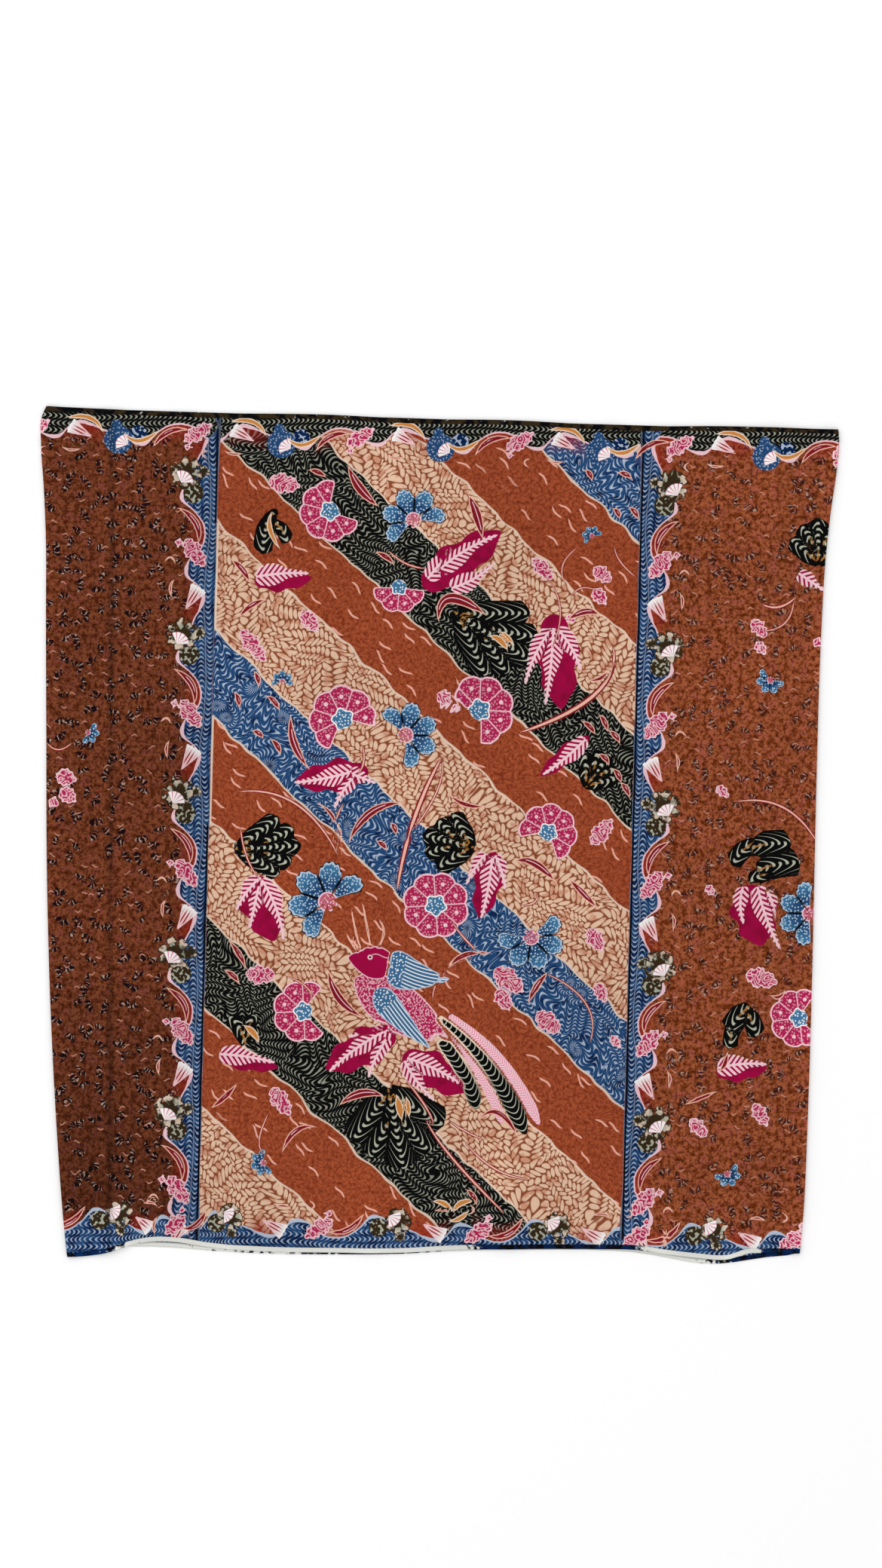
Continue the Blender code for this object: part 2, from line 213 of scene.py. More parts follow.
@dataclass(frozen=True)
class ClothForm:
    """The shape of the laid tube: its sizes, folds, edges, seam and creases, in metres."""

    height: float = 1060 * MM
    wall: float = 1.2 * MM
    layer_gap: float = 0.3 * MM
    selvage_width: float = 6 * MM
    fold_radius: float = 1.7 * MM
    fold_spread: float = 22 * MM
    fold_lip: float = 14 * MM
    seam_top_x: float = -417.5 * MM
    seam_bottom_x: float = -392.5 * MM
    seam_width: float = 12 * MM
    seam_thickness: float = 1.0 * MM
    seam_slope: float = 15 * MM
    seam_plateau: float = 2 * MM
    head_left: float = -281 * MM
    head_right: float = 257 * MM
    under_right: float = 80 * MM

    @property
    def back_z(self) -> float:
        """Height of the middle of the back's wall."""
        return self.wall / 2

    @property
    def front_z(self) -> float:
        """Height of the middle of the front's wall where nothing lifts it."""
        return self.back_z + self.wall + self.layer_gap

    @property
    def bottom_y(self) -> float:
        """Plan Y of the straight bottom line, with the tube's box centred on the origin."""
        deepest = min(min(row[1:]) for row in HEM.rows) * MM
        return -(self.height + max(max(row[1:]) for row in WAIST.rows) * MM + deepest) / 2

    @property
    def waist_y(self) -> float:
        """Plan Y of the straight waist line."""
        return self.bottom_y + self.height

    def fold_centre(self, side: Side, y: Grid) -> Grid:
        """Plan X of the axis that the wall turns round at one side fold."""
        inset = (self.fold_radius + self.wall / 2) * (1 if side is Side.LEFT else -1)
        return SIDES.read(side.value, (y - self.bottom_y) / MM) * MM + inset

    def band_limits(self, band: Band, layer: Layer, x: Grid) -> tuple[Grid, Grid]:
        """Plan Y of a band's lower and upper edge on one layer: straight lines plus wander.

        Args:
            band: which part of the cloth.
            layer: the front or the back.
            x: plan X of the points.

        Returns:
            The lower and the upper edge at each x.
        """
        bottom = self.bottom_y + HEM.read(layer.value, x / MM) * MM
        waist = self.waist_y + WAIST.read(layer.value, x / MM) * MM
        if band is Band.BOTTOM_SELVAGE:
            return bottom, bottom + self.selvage_width
        if band is Band.WAIST_SELVAGE:
            return waist - self.selvage_width, waist
        return bottom + self.selvage_width, waist - self.selvage_width

    def seam_x(self, y: Grid) -> Grid:
        """Plan X of the side seam at plan position y: a straight line up the back."""
        share = (y - self.bottom_y) / self.height
        return self.seam_bottom_x + (self.seam_top_x - self.seam_bottom_x) * share

    def ridge(self, creases: Sequence[Crease], x: Grid, y: Grid) -> Grid:
        """How far creases lift the front, the tallest winning at each point.

        Each one's height falls from its axis to its reach by the ease curve.

        Args:
            creases: the table of creases.
            x: plan X of the points.
            y: plan Y of the points.

        Returns:
            The lift in metres.
        """
        lift = np.zeros_like(x)
        for crease in creases:
            start_x = crease.start_x * MM
            start_y = self.bottom_y + crease.start_up * MM
            run_x = crease.end_x * MM - start_x
            run_y = self.bottom_y + crease.end_up * MM - start_y
            length = run_x * run_x + run_y * run_y
            share = np.clip(((x - start_x) * run_x + (y - start_y) * run_y) / length, 0, 1)
            away = np.hypot(x - start_x - share * run_x, y - start_y - share * run_y)
            lift = np.maximum(lift, crease.height * MM * ease(away / (crease.reach * MM)))
        return lift

    def front_height(self, x: Grid, y: Grid, left: Grid, right: Grid) -> Grid:
        """Height of the middle of the front's wall.

        It is the flat height, plus the rise to the side folds, plus the tallest of creases and
        seam ridge, which fade out where the folds rise. The seam underneath presses a ridge
        into the front that is flat on top and eased off at both sides.

        Args:
            x: plan X of the points.
            y: plan Y of the points.
            left: plan X of the left fold's axis.
            right: plan X of the right fold's axis.

        Returns:
            The height in metres.
        """
        fold_rise = 2 * self.fold_radius - (self.front_z - self.back_z)
        fold = ease(np.minimum(x - left, right - x) / self.fold_spread)
        off_seam = np.abs(x - self.seam_x(y)) - (self.seam_width / 2 + self.seam_plateau)
        seam_ridge = (self.seam_thickness + self.layer_gap) * ease(off_seam / self.seam_slope)
        relief = np.maximum(self.ridge(CREASES, x, y), seam_ridge)
        relief = relief + self.ridge(SLACK, x, y) * SLACK_SHARE
        return self.front_z + fold_rise * fold + relief * (1 - fold)

    def run_points(self, run: Run, fractions: Grid, band: Band, shares: Grid) -> SectionPoints:
        """Points of one run of the way round, for all rows of a band at once.

        A straight run goes evenly from its start to its end. A turn is half a circle of the
        fold's radius. Past a fold the edge passes over from the front's line to the back's
        along the lip.

        Args:
            run: which stretch.
            fractions: where the columns stand, from 0 at the run's start to 1 at its end.
            band: which part of the cloth, from bottom to waist.
            shares: where the rows stand, from 0 at the band's lower edge to 1 at its upper.

        Returns:
            The points, as arrays of rows by columns.
        """
        share = shares[:, None]
        f = fractions[None, :]
        flat = np.zeros_like(share * f)
        low, high = self.band_limits(band, Layer.FRONT, np.zeros(1))
        guess = low + (high - low) * share
        left = self.fold_centre(Side.LEFT, guess)
        right = self.fold_centre(Side.RIGHT, guess)
        seam = self.seam_x(guess)
        joint = right - self.under_right
        half_turn = math.pi * self.fold_radius
        ends = {
            Run.BACK_LEFT: (seam - self.layer_gap / 2, left),
            Run.FRONT_LEFT: (left, self.head_left),
            Run.HEAD: (self.head_left, self.head_right),
            Run.FRONT_RIGHT: (self.head_right, right),
            Run.LIP_RIGHT: (right, joint),
            Run.BACK_MAIN: (joint, seam + self.layer_gap / 2),
        }
        turns = {
            Run.LEFT_TURN: (left, -math.pi * (0.5 + f), left - half_turn * (1 - f)),
            Run.RIGHT_TURN: (right, math.pi * (0.5 - f), right + half_turn * f),
        }
        lip = flat
        normal_x = flat
        normal_z = flat - 1
        if run in turns:
            centre, angle, around = turns[run]
            x = centre + self.fold_radius * np.cos(angle + flat)
            normal_x = np.cos(angle + flat)
            normal_z = np.sin(angle + flat)
        else:
            start, end = ends[run]
            x = start + (end - start) * f + flat
            around = x
        if run is Run.BACK_LEFT:
            around = 2 * left - x - half_turn
            lip = (x - left) / self.fold_lip
        elif run in (Run.LIP_RIGHT, Run.BACK_MAIN):
            around = 2 * right - x + half_turn
            lip = (right - x) / self.fold_lip
        low, high = self.band_limits(band, Layer.FRONT, x)
        under_low, under_high = self.band_limits(band, Layer.BACK, x)
        to_back = 1 - ease(lip)
        low = low + (under_low - low) * to_back
        high = high + (under_high - high) * to_back
        y = low + (high - low) * share
        if run in turns:
            z = self.back_z + self.fold_radius * (1 + normal_z)
        elif run in (Run.FRONT_LEFT, Run.HEAD, Run.FRONT_RIGHT):
            z = self.front_height(x, y, left, right)
            normal_z = flat + 1
        else:
            z = flat + self.back_z
        return SectionPoints(x, y, z, normal_x, normal_z, around + flat)


# ---------------------------------------------------------------------------------------------
# Motifs: where each stands on the cloth, and what a point near it reads
# ---------------------------------------------------------------------------------------------


class Style(IntEnum):
    """What a motif is, and so how it is painted."""

    ROSE = 1
    BLUE_FLOWER = 2
    CRIMSON_LEAF = 3
    FROND = 4
    DARK_LEAF = 5
    BLOSSOM = 6
    BREAST = 7
    WING = 8
    TAIL = 9
    PLUME = 10
    BIRD_HEAD = 11
    STEM = 12
    CURL = 13
    WEDGE = 14
    BALL = 15
    AMBER = 16
    STALK = 17


UNDER = "under"
OVER = "over"
TOP = "top"
LAYERS = (UNDER, OVER, TOP)
UNDER_STYLES = (Style.CRIMSON_LEAF, Style.DARK_LEAF, Style.WEDGE, Style.BALL)
TOP_STYLES = (Style.STEM, Style.WING, Style.BIRD_HEAD, Style.AMBER, Style.STALK)

FAR = 60.0  # the distance that a point reads where no motif is near, in mm
MARGIN = 14.0  # how far outside a motif its distance is still worked out
BLOOM_SCALE = 40.0  # a bloom's own axes are stretched so that its radius is always this
HEART_SHARE = 0.27  # a bloom's heart, whole even where petals are missing, as a share of its radius
PARTING = 1.3  # half the width of the line between two motifs of one layer that touch
BULGE = 1.15  # how much further than its three points a stem's curve may reach
STEM_REACH = 4.0  # how far outside a stem the side on which a point lies still counts
PETALS = {Style.ROSE: 8, Style.BLUE_FLOWER: 7}
BUD_SWELL = 0.9
AMBER_SWELL = 0.8
STROKE_SWELL = 0.35


class Reading(NamedTuple):
    """What points read of one motif: its own axes, the distance, and the value stored for it.

    The two differ for a bloom, whose stored value is stretched with its axes, and for a stem,
    whose stored value is minus its half width, so that the material finds its edge from the
    distance across, which is exact on a thin line.
    """

    along: Grid
    across: Grid
    distance: Grid
    stored: Grid


class Profile(Enum):
    """How a lobe's half width runs along it, as a share of its greatest."""

    LEAF = "pointed at both ends, fullest before the middle"
    RIPPLED = "a leaf with scalloped sides"
    FROND = "a feather: broad at its foot, tapering to its tip"
    WEDGE = "a straight taper from its foot to a point"
    BAND = "even, with its last part rounded off"
    WING = "round-headed, with a long taper"

    def half_width(self, t: Grid) -> Grid:
        """A lobe's half width at t along it, from 0 at its foot to 1 at its tip.

        Leaves are a sine of half a turn to a power, the rippled one's times a slow cosine. A
        feather and a band end in a square root, a wing begins with a quarter circle.

        Args:
            t: the place along it.

        Returns:
            The half width as a share of the lobe's greatest.
        """
        if self is Profile.LEAF:
            return np.sin(np.pi * t**0.8) ** 0.8
        if self is Profile.RIPPLED:
            return np.sin(np.pi * t**0.8) ** 0.6 * (0.87 + 0.13 * np.cos(2 * np.pi * 2.6 * t))
        if self is Profile.FROND:
            foot = 0.55 + 0.45 * np.sin(np.pi * np.minimum(t * 1.6, 1))
            return np.sqrt(np.clip(1 - t, 0, 1)) * foot
        if self is Profile.WEDGE:
            return 1 - t
        if self is Profile.WING:
            head = np.minimum(t / 0.22, 1)
            taper = 1 - np.clip((t - 0.25) / 0.75, 0, 1) ** 1.3
            return np.sqrt(np.clip(head * (2 - head), 0, 1)) * taper
        return (0.55 + 0.45 * np.minimum(t * 3, 1)) * np.sqrt(np.clip((1 - t) * 9, 0, 1))


@dataclass(frozen=True)
class Bloom:
    """A round flower seen from above, which may lack some of its petals on one side."""

    style: Style
    x: float
    y: float
    radius: float
    gap_at: float = 0.0
    missing: int = 0
    turn: float = 0.0

    def window(self) -> Row:
        """The centre and the radius of the disc in which it is read."""
        return self.x, self.y, self.radius + MARGIN

    def read(self, x: Grid, y: Grid) -> Reading:
        """Its own axes are plan axes turned, and stretched to the common bloom radius.

        The stored value is stretched alike, so that a small bloom keeps a large one's shares.
        The distance is from the centre less the radius. Where petals are missing it is the
        distance to the nearer petal, apart from the heart, which is always whole. The axes
        are turned so that a petal begins just where the gap ends.

        Args:
            x: places round the tube, in mm.
            y: places up the cloth, in mm.

        Returns:
            What the points read.
        """
        from_x = x - self.x
        from_y = y - self.y
        out = np.hypot(from_x, from_y)
        distance = out - self.radius
        turn = self.turn
        if self.missing:
            gap_half = 180 / PETALS[self.style] * self.missing
            turn = self.gap_at + gap_half
            bearing = np.degrees(np.arctan2(from_y, from_x)) - self.gap_at
            off_gap = np.abs((bearing + 180) % 360 - 180)
            distance = np.maximum(distance, np.radians(gap_half - off_gap) * out)
            distance = np.minimum(distance, out - HEART_SHARE * self.radius)
        cosine = math.cos(math.radians(turn))
        sine = math.sin(math.radians(turn))
        scale = BLOOM_SCALE / self.radius
        along = (from_x * cosine + from_y * sine) * scale
        across = (from_y * cosine - from_x * sine) * scale
        return Reading(along, across, distance, distance * scale)


@dataclass(frozen=True)
class Lobe:
    """A leaf-like shape along an axis, which may bow to its left."""

    style: Style
    x: float
    y: float
    end_x: float
    end_y: float
    width: float
    profile: Profile = Profile.LEAF
    bow: float = 0.0

    def window(self) -> Row:
        """The disc in which it is read.

        Returns:
            Its centre and its radius.
        """
        reach = math.hypot(self.end_x - self.x, self.end_y - self.y) / 2
        radius = reach + self.width / 2 + abs(self.bow) + MARGIN
        return (self.x + self.end_x) / 2, (self.y + self.end_y) / 2, radius

    def read(self, x: Grid, y: Grid) -> Reading:
        """Its own axes run along it and across it, in mm, across from its bowed middle line.

        The distance is the distance across less the half width there, and past either end
        the distance to that end.

        Args:
            x: places round the tube, in mm.
            y: places up the cloth, in mm.

        Returns:
            What the points read.
        """
        length = math.hypot(self.end_x - self.x, self.end_y - self.y)
        unit_x = (self.end_x - self.x) / length
        unit_y = (self.end_y - self.y) / length
        along = (x - self.x) * unit_x + (y - self.y) * unit_y
        across = (y - self.y) * unit_x - (x - self.x) * unit_y
        inside = np.clip(along / length, 0, 1)
        across = across - self.bow * 4 * inside * (1 - inside)
        past = np.maximum(np.maximum(-along, along - length), 0)
        beside = np.abs(across) - self.width / 2 * self.profile.half_width(inside)
        distance = np.where(past > 0, np.hypot(np.maximum(beside, 0), past), beside)
        return Reading(along, across, distance, distance)


@dataclass(frozen=True)
class Stem:
    """A thin curved stroke through three points, tapered at its ends."""

    x: float
    y: float
    by_x: float
    by_y: float
    end_x: float
    end_y: float
    width: float
    swell: float = STROKE_SWELL
    style: Style = Style.STEM
    steps: int = 18

    def window(self) -> Row:
        """The disc in which it is read, a little larger than the box of its three points.

        Returns:
            Its centre and its radius.
        """
        xs = sorted((self.x, self.by_x, self.end_x))
        ys = sorted((self.y, self.by_y, self.end_y))
        reach = math.hypot(xs[2] - xs[0], ys[2] - ys[0]) / 2
        return (xs[2] + xs[0]) / 2, (ys[2] + ys[0]) / 2, reach * BULGE + self.width + MARGIN

    def read(self, x: Grid, y: Grid) -> Reading:
        """Nearest place on the curve, which is the parabola through the three points.

        The half width is the greatest times the sine of half a turn along it to the power
        "swell": a small power gives an even stroke, and 1 a bud.

        Args:
            x: places round the tube, in mm.
            y: places up the cloth, in mm.

        Returns:
            What the points read.
        """
        t = np.linspace(0, 1, self.steps + 1)
        bend_x = 2 * self.by_x - (self.x + self.end_x) / 2
        bend_y = 2 * self.by_y - (self.y + self.end_y) / 2
        curve_x = self.x * (1 - t) ** 2 + bend_x * 2 * t * (1 - t) + self.end_x * t**2
        curve_y = self.y * (1 - t) ** 2 + bend_y * 2 * t * (1 - t) + self.end_y * t**2
        run_x = np.diff(curve_x)[:, None]
        run_y = np.diff(curve_y)[:, None]
        from_x = x[None, :] - curve_x[:-1, None]
        from_y = y[None, :] - curve_y[:-1, None]
        squared = run_x**2 + run_y**2
        share = np.clip((from_x * run_x + from_y * run_y) / squared, 0, 1)
        away = np.hypot(from_x - share * run_x, from_y - share * run_y)
        nearest = np.argmin(away, axis=0)
        pick = (nearest, np.arange(len(x)))
        side = np.sign((from_y * run_x - from_x * run_y)[pick])
        length = np.sqrt(squared[:, 0])
        start = np.concatenate([[0], np.cumsum(length)[:-1]])
        along = start[nearest] + share[pick] * length[nearest]
        place = np.clip(along / length.sum(), 0.002, 0.998)
        half = self.width / 2 * np.sin(np.pi * place) ** self.swell
        return Reading(along, side * away[pick], away[pick] - half, -half)


Motif = Bloom | Lobe | Stem


def moved(motif: Motif, by_x: float, by_y: float) -> Motif:
    """The same motif elsewhere on the cloth."""
    shifts = {f"{part}{axis}": by for part in ("", "by_", "end_") for axis, by in (("x", by_x), ("y", by_y))}
    return replace(motif, **{k: getattr(motif, k) + by for k, by in shifts.items() if hasattr(motif, k)})


def blooms(style: Style, rows: Iterable[Row]) -> list[Motif]:
    """Blooms of one style. A row: centre, radius, where petals are missing, how many, and turn."""
    return [Bloom(style, *row) for row in rows]


def lobes(style: Style, profile: Profile, rows: Iterable[Row]) -> list[Motif]:
    """Lobes of one kind. A row is a foot, a tip, a width and, where it bows, its bow."""
    return [Lobe(style, *row[:5], profile, *row[5:]) for row in rows]


def strokes(style: Style, swell: float, rows: Iterable[Row]) -> list[Motif]:
    """Strokes of one kind. A row is the three points of its curve and a width."""
    return [Stem(*row, swell, style) for row in rows]


def drops(width: float, lift: float, rows: Iterable[Row]) -> list[Motif]:
    """Small buds.

    Args:
        width: how thick each is.
        lift: how far the middle of each lies off the straight line, both ways.
        rows: a start and an end each.

    Returns:
        The buds.
    """
    middles = [((row[0] + row[2]) / 2 + lift, (row[1] + row[3]) / 2 + lift) for row in rows]
    rows = [(*row[:2], *middle, *row[2:], width) for row, middle in zip(rows, middles)]
    return strokes(Style.STEM, BUD_SWELL, rows)


# A fan leaf's lobes: how far up its middle each begins, its angle, and its share of the length.
FAN_LOBES = ((0.0, 0, 1.0), (0.04, 44, 0.78), (0.04, -44, 0.74), (0.3, 30, 0.66), (0.3, -34, 0.6))


def fan_leaf(x: float, y: float, end_x: float, end_y: float, spread: float) -> list[Motif]:
    """A dark leaf of five lobes that fan out of its foot.

    Args:
        x: its foot.
        y: its foot.
        end_x: the tip of its middle lobe.
        end_y: the tip of its middle lobe.
        spread: how wide the side lobes stand and how broad all are.

    Returns:
        Its lobes.
    """
    length = math.hypot(end_x - x, end_y - y)
    heading = math.atan2(end_y - y, end_x - x)
    made: list[Motif] = []
    for from_foot, angle, share in FAN_LOBES:
        foot_x = x + (end_x - x) * from_foot
        foot_y = y + (end_y - y) * from_foot
        turned = heading + math.radians(angle * spread)
        tip_x = foot_x + length * share * math.cos(turned)
        tip_y = foot_y + length * share * math.sin(turned)
        width = length * 0.36 * spread * (0.7 + 0.3 * share)
        made.append(Lobe(Style.DARK_LEAF, foot_x, foot_y, tip_x, tip_y, width, Profile.BAND))
    return made


def head_panel_motifs() -> list[Motif]:
    """The bouquet of the head panel: roses, blue flowers, leaves with fronds, buds, stalks.

    Returns:
        Its motifs. Where two of one layer overlap, a point belongs to the one it is deeper in.
    """
    return [
        *blooms(Style.ROSE, (
            (-137, 416, 40, 32, 2), (-47, 322, 34, 88, 4), (-114, 152, 44, -62, 2),
            (10, -81, 43, 0.0, 0, 5), (59, 168, 45, 224, 2), (150, 15, 38, 240, 2),
            (-154, -220, 40, 4, 2),
        )),
        *lobes(Style.BLOSSOM, Profile.RIPPLED, (
            (-216, 452, -176, 446, 28), (-228, -174, -190, -176, 27), (6, 188, 38, 168, 29),
            (206, 2, 231, 34, 25), (199, 352, 222, 336, 22), (122, 362, 148, 336, 21),
            (-192, -318, -168, -352, 25), (142, -214, 172, -238, 28), (-246, 262, -214, 222, 23),
            (87, -160, 124, -188, 31), (92, -184, 107, -212, 24), (205, -106, 223, -133, 24),
        )),
        *lobes(Style.BLOSSOM, Profile.LEAF, (
            (200, 326, 216, 306, 18), (165, 290, 178, 284, 10), (-170, 288, -148, 262, 20),
            (216, -174, 229, -199, 17), (237, -240, 249, -256, 12),
        )),
        *blooms(Style.BLUE_FLOWER, (
            (-31, 407, 41, -66, 2), (-34, 134, 42, 206, 2), (-127, -80, 51, -42, 2),
            (132, -118, 43, 110, 2), (196, 393, 13, -60, 2), (-200, -413, 17, 20, 2),
            (-192, 198, 14, -90, 2),
        )),
        *lobes(Style.CRIMSON_LEAF, Profile.RIPPLED, (
            (-16, 322, 80, 396, 56), (150, 292, 163, 172, 60), (-230, 324, -158, 330, 32),
            (-80, 86, -172, 72, 46), (-224, -50, -194, -132, 58), (84, -12, 66, -96, 40),
            (-38, -242, -124, -292, 54), (-26, -272, 58, -316, 52), (-260, -280, -184, -292, 26),
            (198, 138, 138, 86, 26),
        )),
        *lobes(Style.FROND, Profile.FROND, (
            (2, 344, 76, 391, 34, 4), (-10, 334, 30, 378, 31, 2), (20, 322, 74, 356, 31, -4),
            (146, 272, 116, 202, 31, -4), (150, 274, 142, 176, 33, 2), (155, 274, 187, 220, 31, 4),
            (-228, 330, -162, 336, 34, 2), (-100, 86, -174, 70, 32, 2), (-104, 84, -70, 72, 27),
            (-98, 80, -122, 38, 26, -2), (-214, -52, -243, -94, 28, -3),
            (-212, -54, -182, -130, 33, 5), (-214, -58, -226, -118, 26),
            (80, -18, 68, -97, 32, 2), (84, -16, 98, -60, 24, 2), (72, -14, 48, -54, 24, -2),
            (-46, -240, -120, -296, 34, -4), (-46, -238, -98, -250, 27, 2),
            (-48, -252, -70, -302, 26, -2), (-20, -276, 54, -310, 31, 3),
            (-24, -280, 16, -330, 28, -3), (-258, -277, -188, -286, 31, 2),
            (194, 134, 141, 88, 28, 2),
        )),
        *fan_leaf(-246, -16, -164, -10, 0.8),
        *fan_leaf(56, -6, -8, 8, 1.05),
        *fan_leaf(-44, -316, -22, -416, 1.1),
        *fan_leaf(24, 292, 124, 232, 0.75),
        *fan_leaf(196, 74, 226, 116, 0.9),
        *lobes(Style.DARK_LEAF, Profile.BAND, (
            (-211, 410, -221, 360, 22, -3), (-208, 400, -190, 375, 15, 3),
            (-224, 394, -205, 415, 9), (-227, -262, -247, -229, 18, -3),
            (-224, -256, -217, -226, 15, 2),
        )),
        *strokes(Style.STEM, BUD_SWELL, (
            (-115, 473, -101, 447, -77, 424, 12), (38, 441, 49, 416, 57, 387, 12),
            (4, 281, 18, 309, 63, 290, 13), (169, 286, 191, 297, 208, 292, 9),
            (-180, 154, -175, 120, -156, 89, 10), (-102, -3, -76, 34, -36, 48, 10),
            (-142, 44, -120, 22, -111, -18, 6), (108, -23, 133, -24, 161, -47, 10),
            (-124, -167, -110, -201, -80, -225, 11), (-105, -337, -78, -322, -50, -325, 11),
            (24, -169, 45, -146, 80, -140, 9), (131, -201, 141, -180, 155, -162, 8),
            (-260, 351, -245, 337, -237, 323, 8), (-249, 278, -233, 294, -215, 301, 7),
            (178, -43, 204, -68, 215, -79, 8), (-267, -345, -250, -330, -237, -315, 7),
            (-176, -398, -160, -372, -136, -366, 7), (72, -352, 96, -342, 122, -372, 7),
            (228, 232, 214, 214, 196, 210, 6), (24, 60, 44, 48, 70, 46, 6),
        )),
        *drops(7, 1.5, (
            (-228, 209, -222, 192), (-252, 182, -246, 164), (-211, 179, -195, 162),
            (-228, 134, -215, 126), (-204, 124, -192, 106), (-50, 22, -43, 8),
            (-67, -2, -55, -12), (185, 476, 194, 464), (227, 474, 244, 467),
            (222, 428, 230, 416), (242, 430, 254, 416), (190, 157, 206, 142),
            (211, 166, 222, 146), (224, 146, 238, 131), (212, 116, 225, 104),
            (230, 98, 241, 81), (240, 81, 252, 63), (-165, 467, -144, 459),
            (-77, 365, -55, 351), (-251, -133, -229, -167), (-255, -171, -237, -186),
            (59, -441, 72, -459),
        )),
        *strokes(Style.AMBER, AMBER_SWELL, (
            (-33, -324, -29, -340, -26, -354, 9), (-21, -326, -18, -338, -17, -350, 6),
            (17, -457, 30, -459, 42, -470, 7), (42, -470, 52, -458, 68, -455, 7),
            (39, -481, 50, -478, 62, -468, 6), (70, 262, 82, 258, 92, 246, 8),
            (84, 268, 92, 262, 100, 252, 5), (-229, -240, -218, -248, -210, -260, 8),
            (-211, 412, -213, 392, -201, 368, 6),
        )),
        *strokes(Style.STALK, STROKE_SWELL, (
            (227, 251, 205, 192, 114, 142, 7.5), (12, 106, -21, 25, -39, -60, 7.5),
            (-241, 57, -171, 43, -117, -18, 4.6), (-111, 44, -119, 15, -108, -14, 3.6),
            (9, -198, 25, -165, 68, -142, 4.0), (155, -165, 204, -201, 211, -248, 3.2),
            (6, -356, 41, -403, 105, -467, 4.6), (13, 106, 7, 62, -29, 3, 3.4),
            (138, -63, 135, -74, 120, -78, 3.4), (-21, -305, 2, -334, 14, -356, 3.6),
            (36, -355, 54, -366, 77, -376, 3.6), (55, -380, 92, -412, 137, -426, 3.8),
            (163, 333, 160, 355, 176, 376, 2.6), (172, 315, 183, 326, 201, 325, 2.6),
            (225, 379, 233, 361, 252, 343, 2.6), (150, 252, 158, 300, 140, 338, 2.6),
            (-60, 366, -40, 352, -16, 346, 3.0), (-88, 118, -86, 100, -92, 84, 3.6),
            (-240, 10, -232, -24, -216, -52, 3.0), (-176, -176, -150, -190, -146, -206, 2.8),
            (-196, -352, -206, -384, -200, -402, 2.8), (66, -140, 44, -118, 34, -104, 3.4),
        )),
    ]  # fmt: skip


def bird_motifs() -> list[Motif]:
    """The long-tailed bird: breast, head, two wings, two tail feathers, two plumes, a crest.

    Returns:
        Its parts.
    """
    return [
        *lobes(Style.BREAST, Profile.LEAF, ((-90, -176, 34, -252, 62, -2),)),
        *lobes(Style.BIRD_HEAD, Profile.LEAF, ((-38, -160, -100, -150, 42),)),
        *lobes(Style.WING, Profile.WING, ((-63, -190, 10, -264, 32, -3), (-52, -155, 32, -174, 46, -7))),
        *lobes(Style.TAIL, Profile.BAND, ((2, -232, 70, -338, 20, 9), (16, -224, 132, -368, 22, 13))),
        *lobes(Style.PLUME, Profile.BAND, ((24, -236, 102, -356, 13, 9), (32, -221, 149, -356, 14, 13))),
        *strokes(Style.STEM, STROKE_SWELL, (
            (-82, -140, -89, -123, -96, -92, 1.8), (-71, -136, -76, -113, -82, -84, 1.9),
            (-87, -143, -94, -134, -101, -122, 1.7),
        )),
        Stem(-61, -136, -55, -117, -60, -103, 2.3, 0.4),
    ]  # fmt: skip


def field_motifs() -> list[Motif]:
    """The loose bouquets of the brown field on the front, right and left of the head panel.

    Returns:
        Their motifs.
    """
    return [
        *blooms(Style.ROSE, ((475, -212, 38, 8, 2),)),
        *blooms(Style.BLUE_FLOWER, (
            (485, -79, 41, 0, 3), (427, 216, 18, 60, 2), (389, -412, 17, 120, 2),
            (-437, 127, 15, 150, 3),
        )),
        *fan_leaf(484, 364, 482, 422, 1.1),
        *lobes(Style.DARK_LEAF, Profile.BAND, (
            (418, -26, 470, -14, 33, 3), (408, 2, 458, 9, 31, 3), (413, 10, 385, -19, 21, -3),
            (438, -27, 407, -41, 17, -2), (411, -199, 386, -231, 26, -2),
            (405, -202, 422, -236, 21, 2), (390, -222, 388, -252, 17),
        )),
        *lobes(Style.CRIMSON_LEAF, Profile.RIPPLED, (
            (406, -44, 424, -122, 64), (372, -284, 436, -276, 30),
        )),
        *lobes(Style.FROND, Profile.FROND, (
            (399, -48, 402, -96, 24, -4), (418, -48, 449, -126, 31, -3),
            (430, -52, 440, -90, 20, 3), (374, -278, 436, -272, 32, 3), (460, 352, 494, 330, 24),
        )),
        *lobes(Style.BLOSSOM, Profile.RIPPLED, (
            (406, -158, 446, -168, 28), (402, 292, 420, 270, 20), (340, -344, 362, -366, 20),
            (420, -322, 438, -350, 20),
        )),
        *lobes(Style.BLOSSOM, Profile.LEAF, (
            (408, 264, 420, 248, 14), (480, 268, 492, 262, 12), (-476, 72, -450, 66, 22),
            (-470, 54, -450, 38, 20), (-484, 40, -472, 34, 14), (362, 80, 378, 66, 13),
            (352, -46, 364, -60, 11),
        )),
        *strokes(Style.STALK, STROKE_SWELL, (
            (391, 61, 447, 55, 490, 14, 4.2), (416, 311, 436, 309, 456, 321, 4.6),
            (454, 315, 444, 289, 419, 278, 3.0), (-458, 112, -474, 104, -488, 112, 2.6),
        )),
        *strokes(Style.STEM, BUD_SWELL, (
            (334, -325, 350, -318, 372, -308, 5), (375, -282, 382, -273, 385, -258, 6),
            (456, -178, 448, -186, 438, -184, 5),
        )),
    ]  # fmt: skip


class Trim(Enum):
    """The three kinds of border strip, by which the materials tell them apart."""

    SIDE = 0
    BOTTOM = 1
    TOP = 2


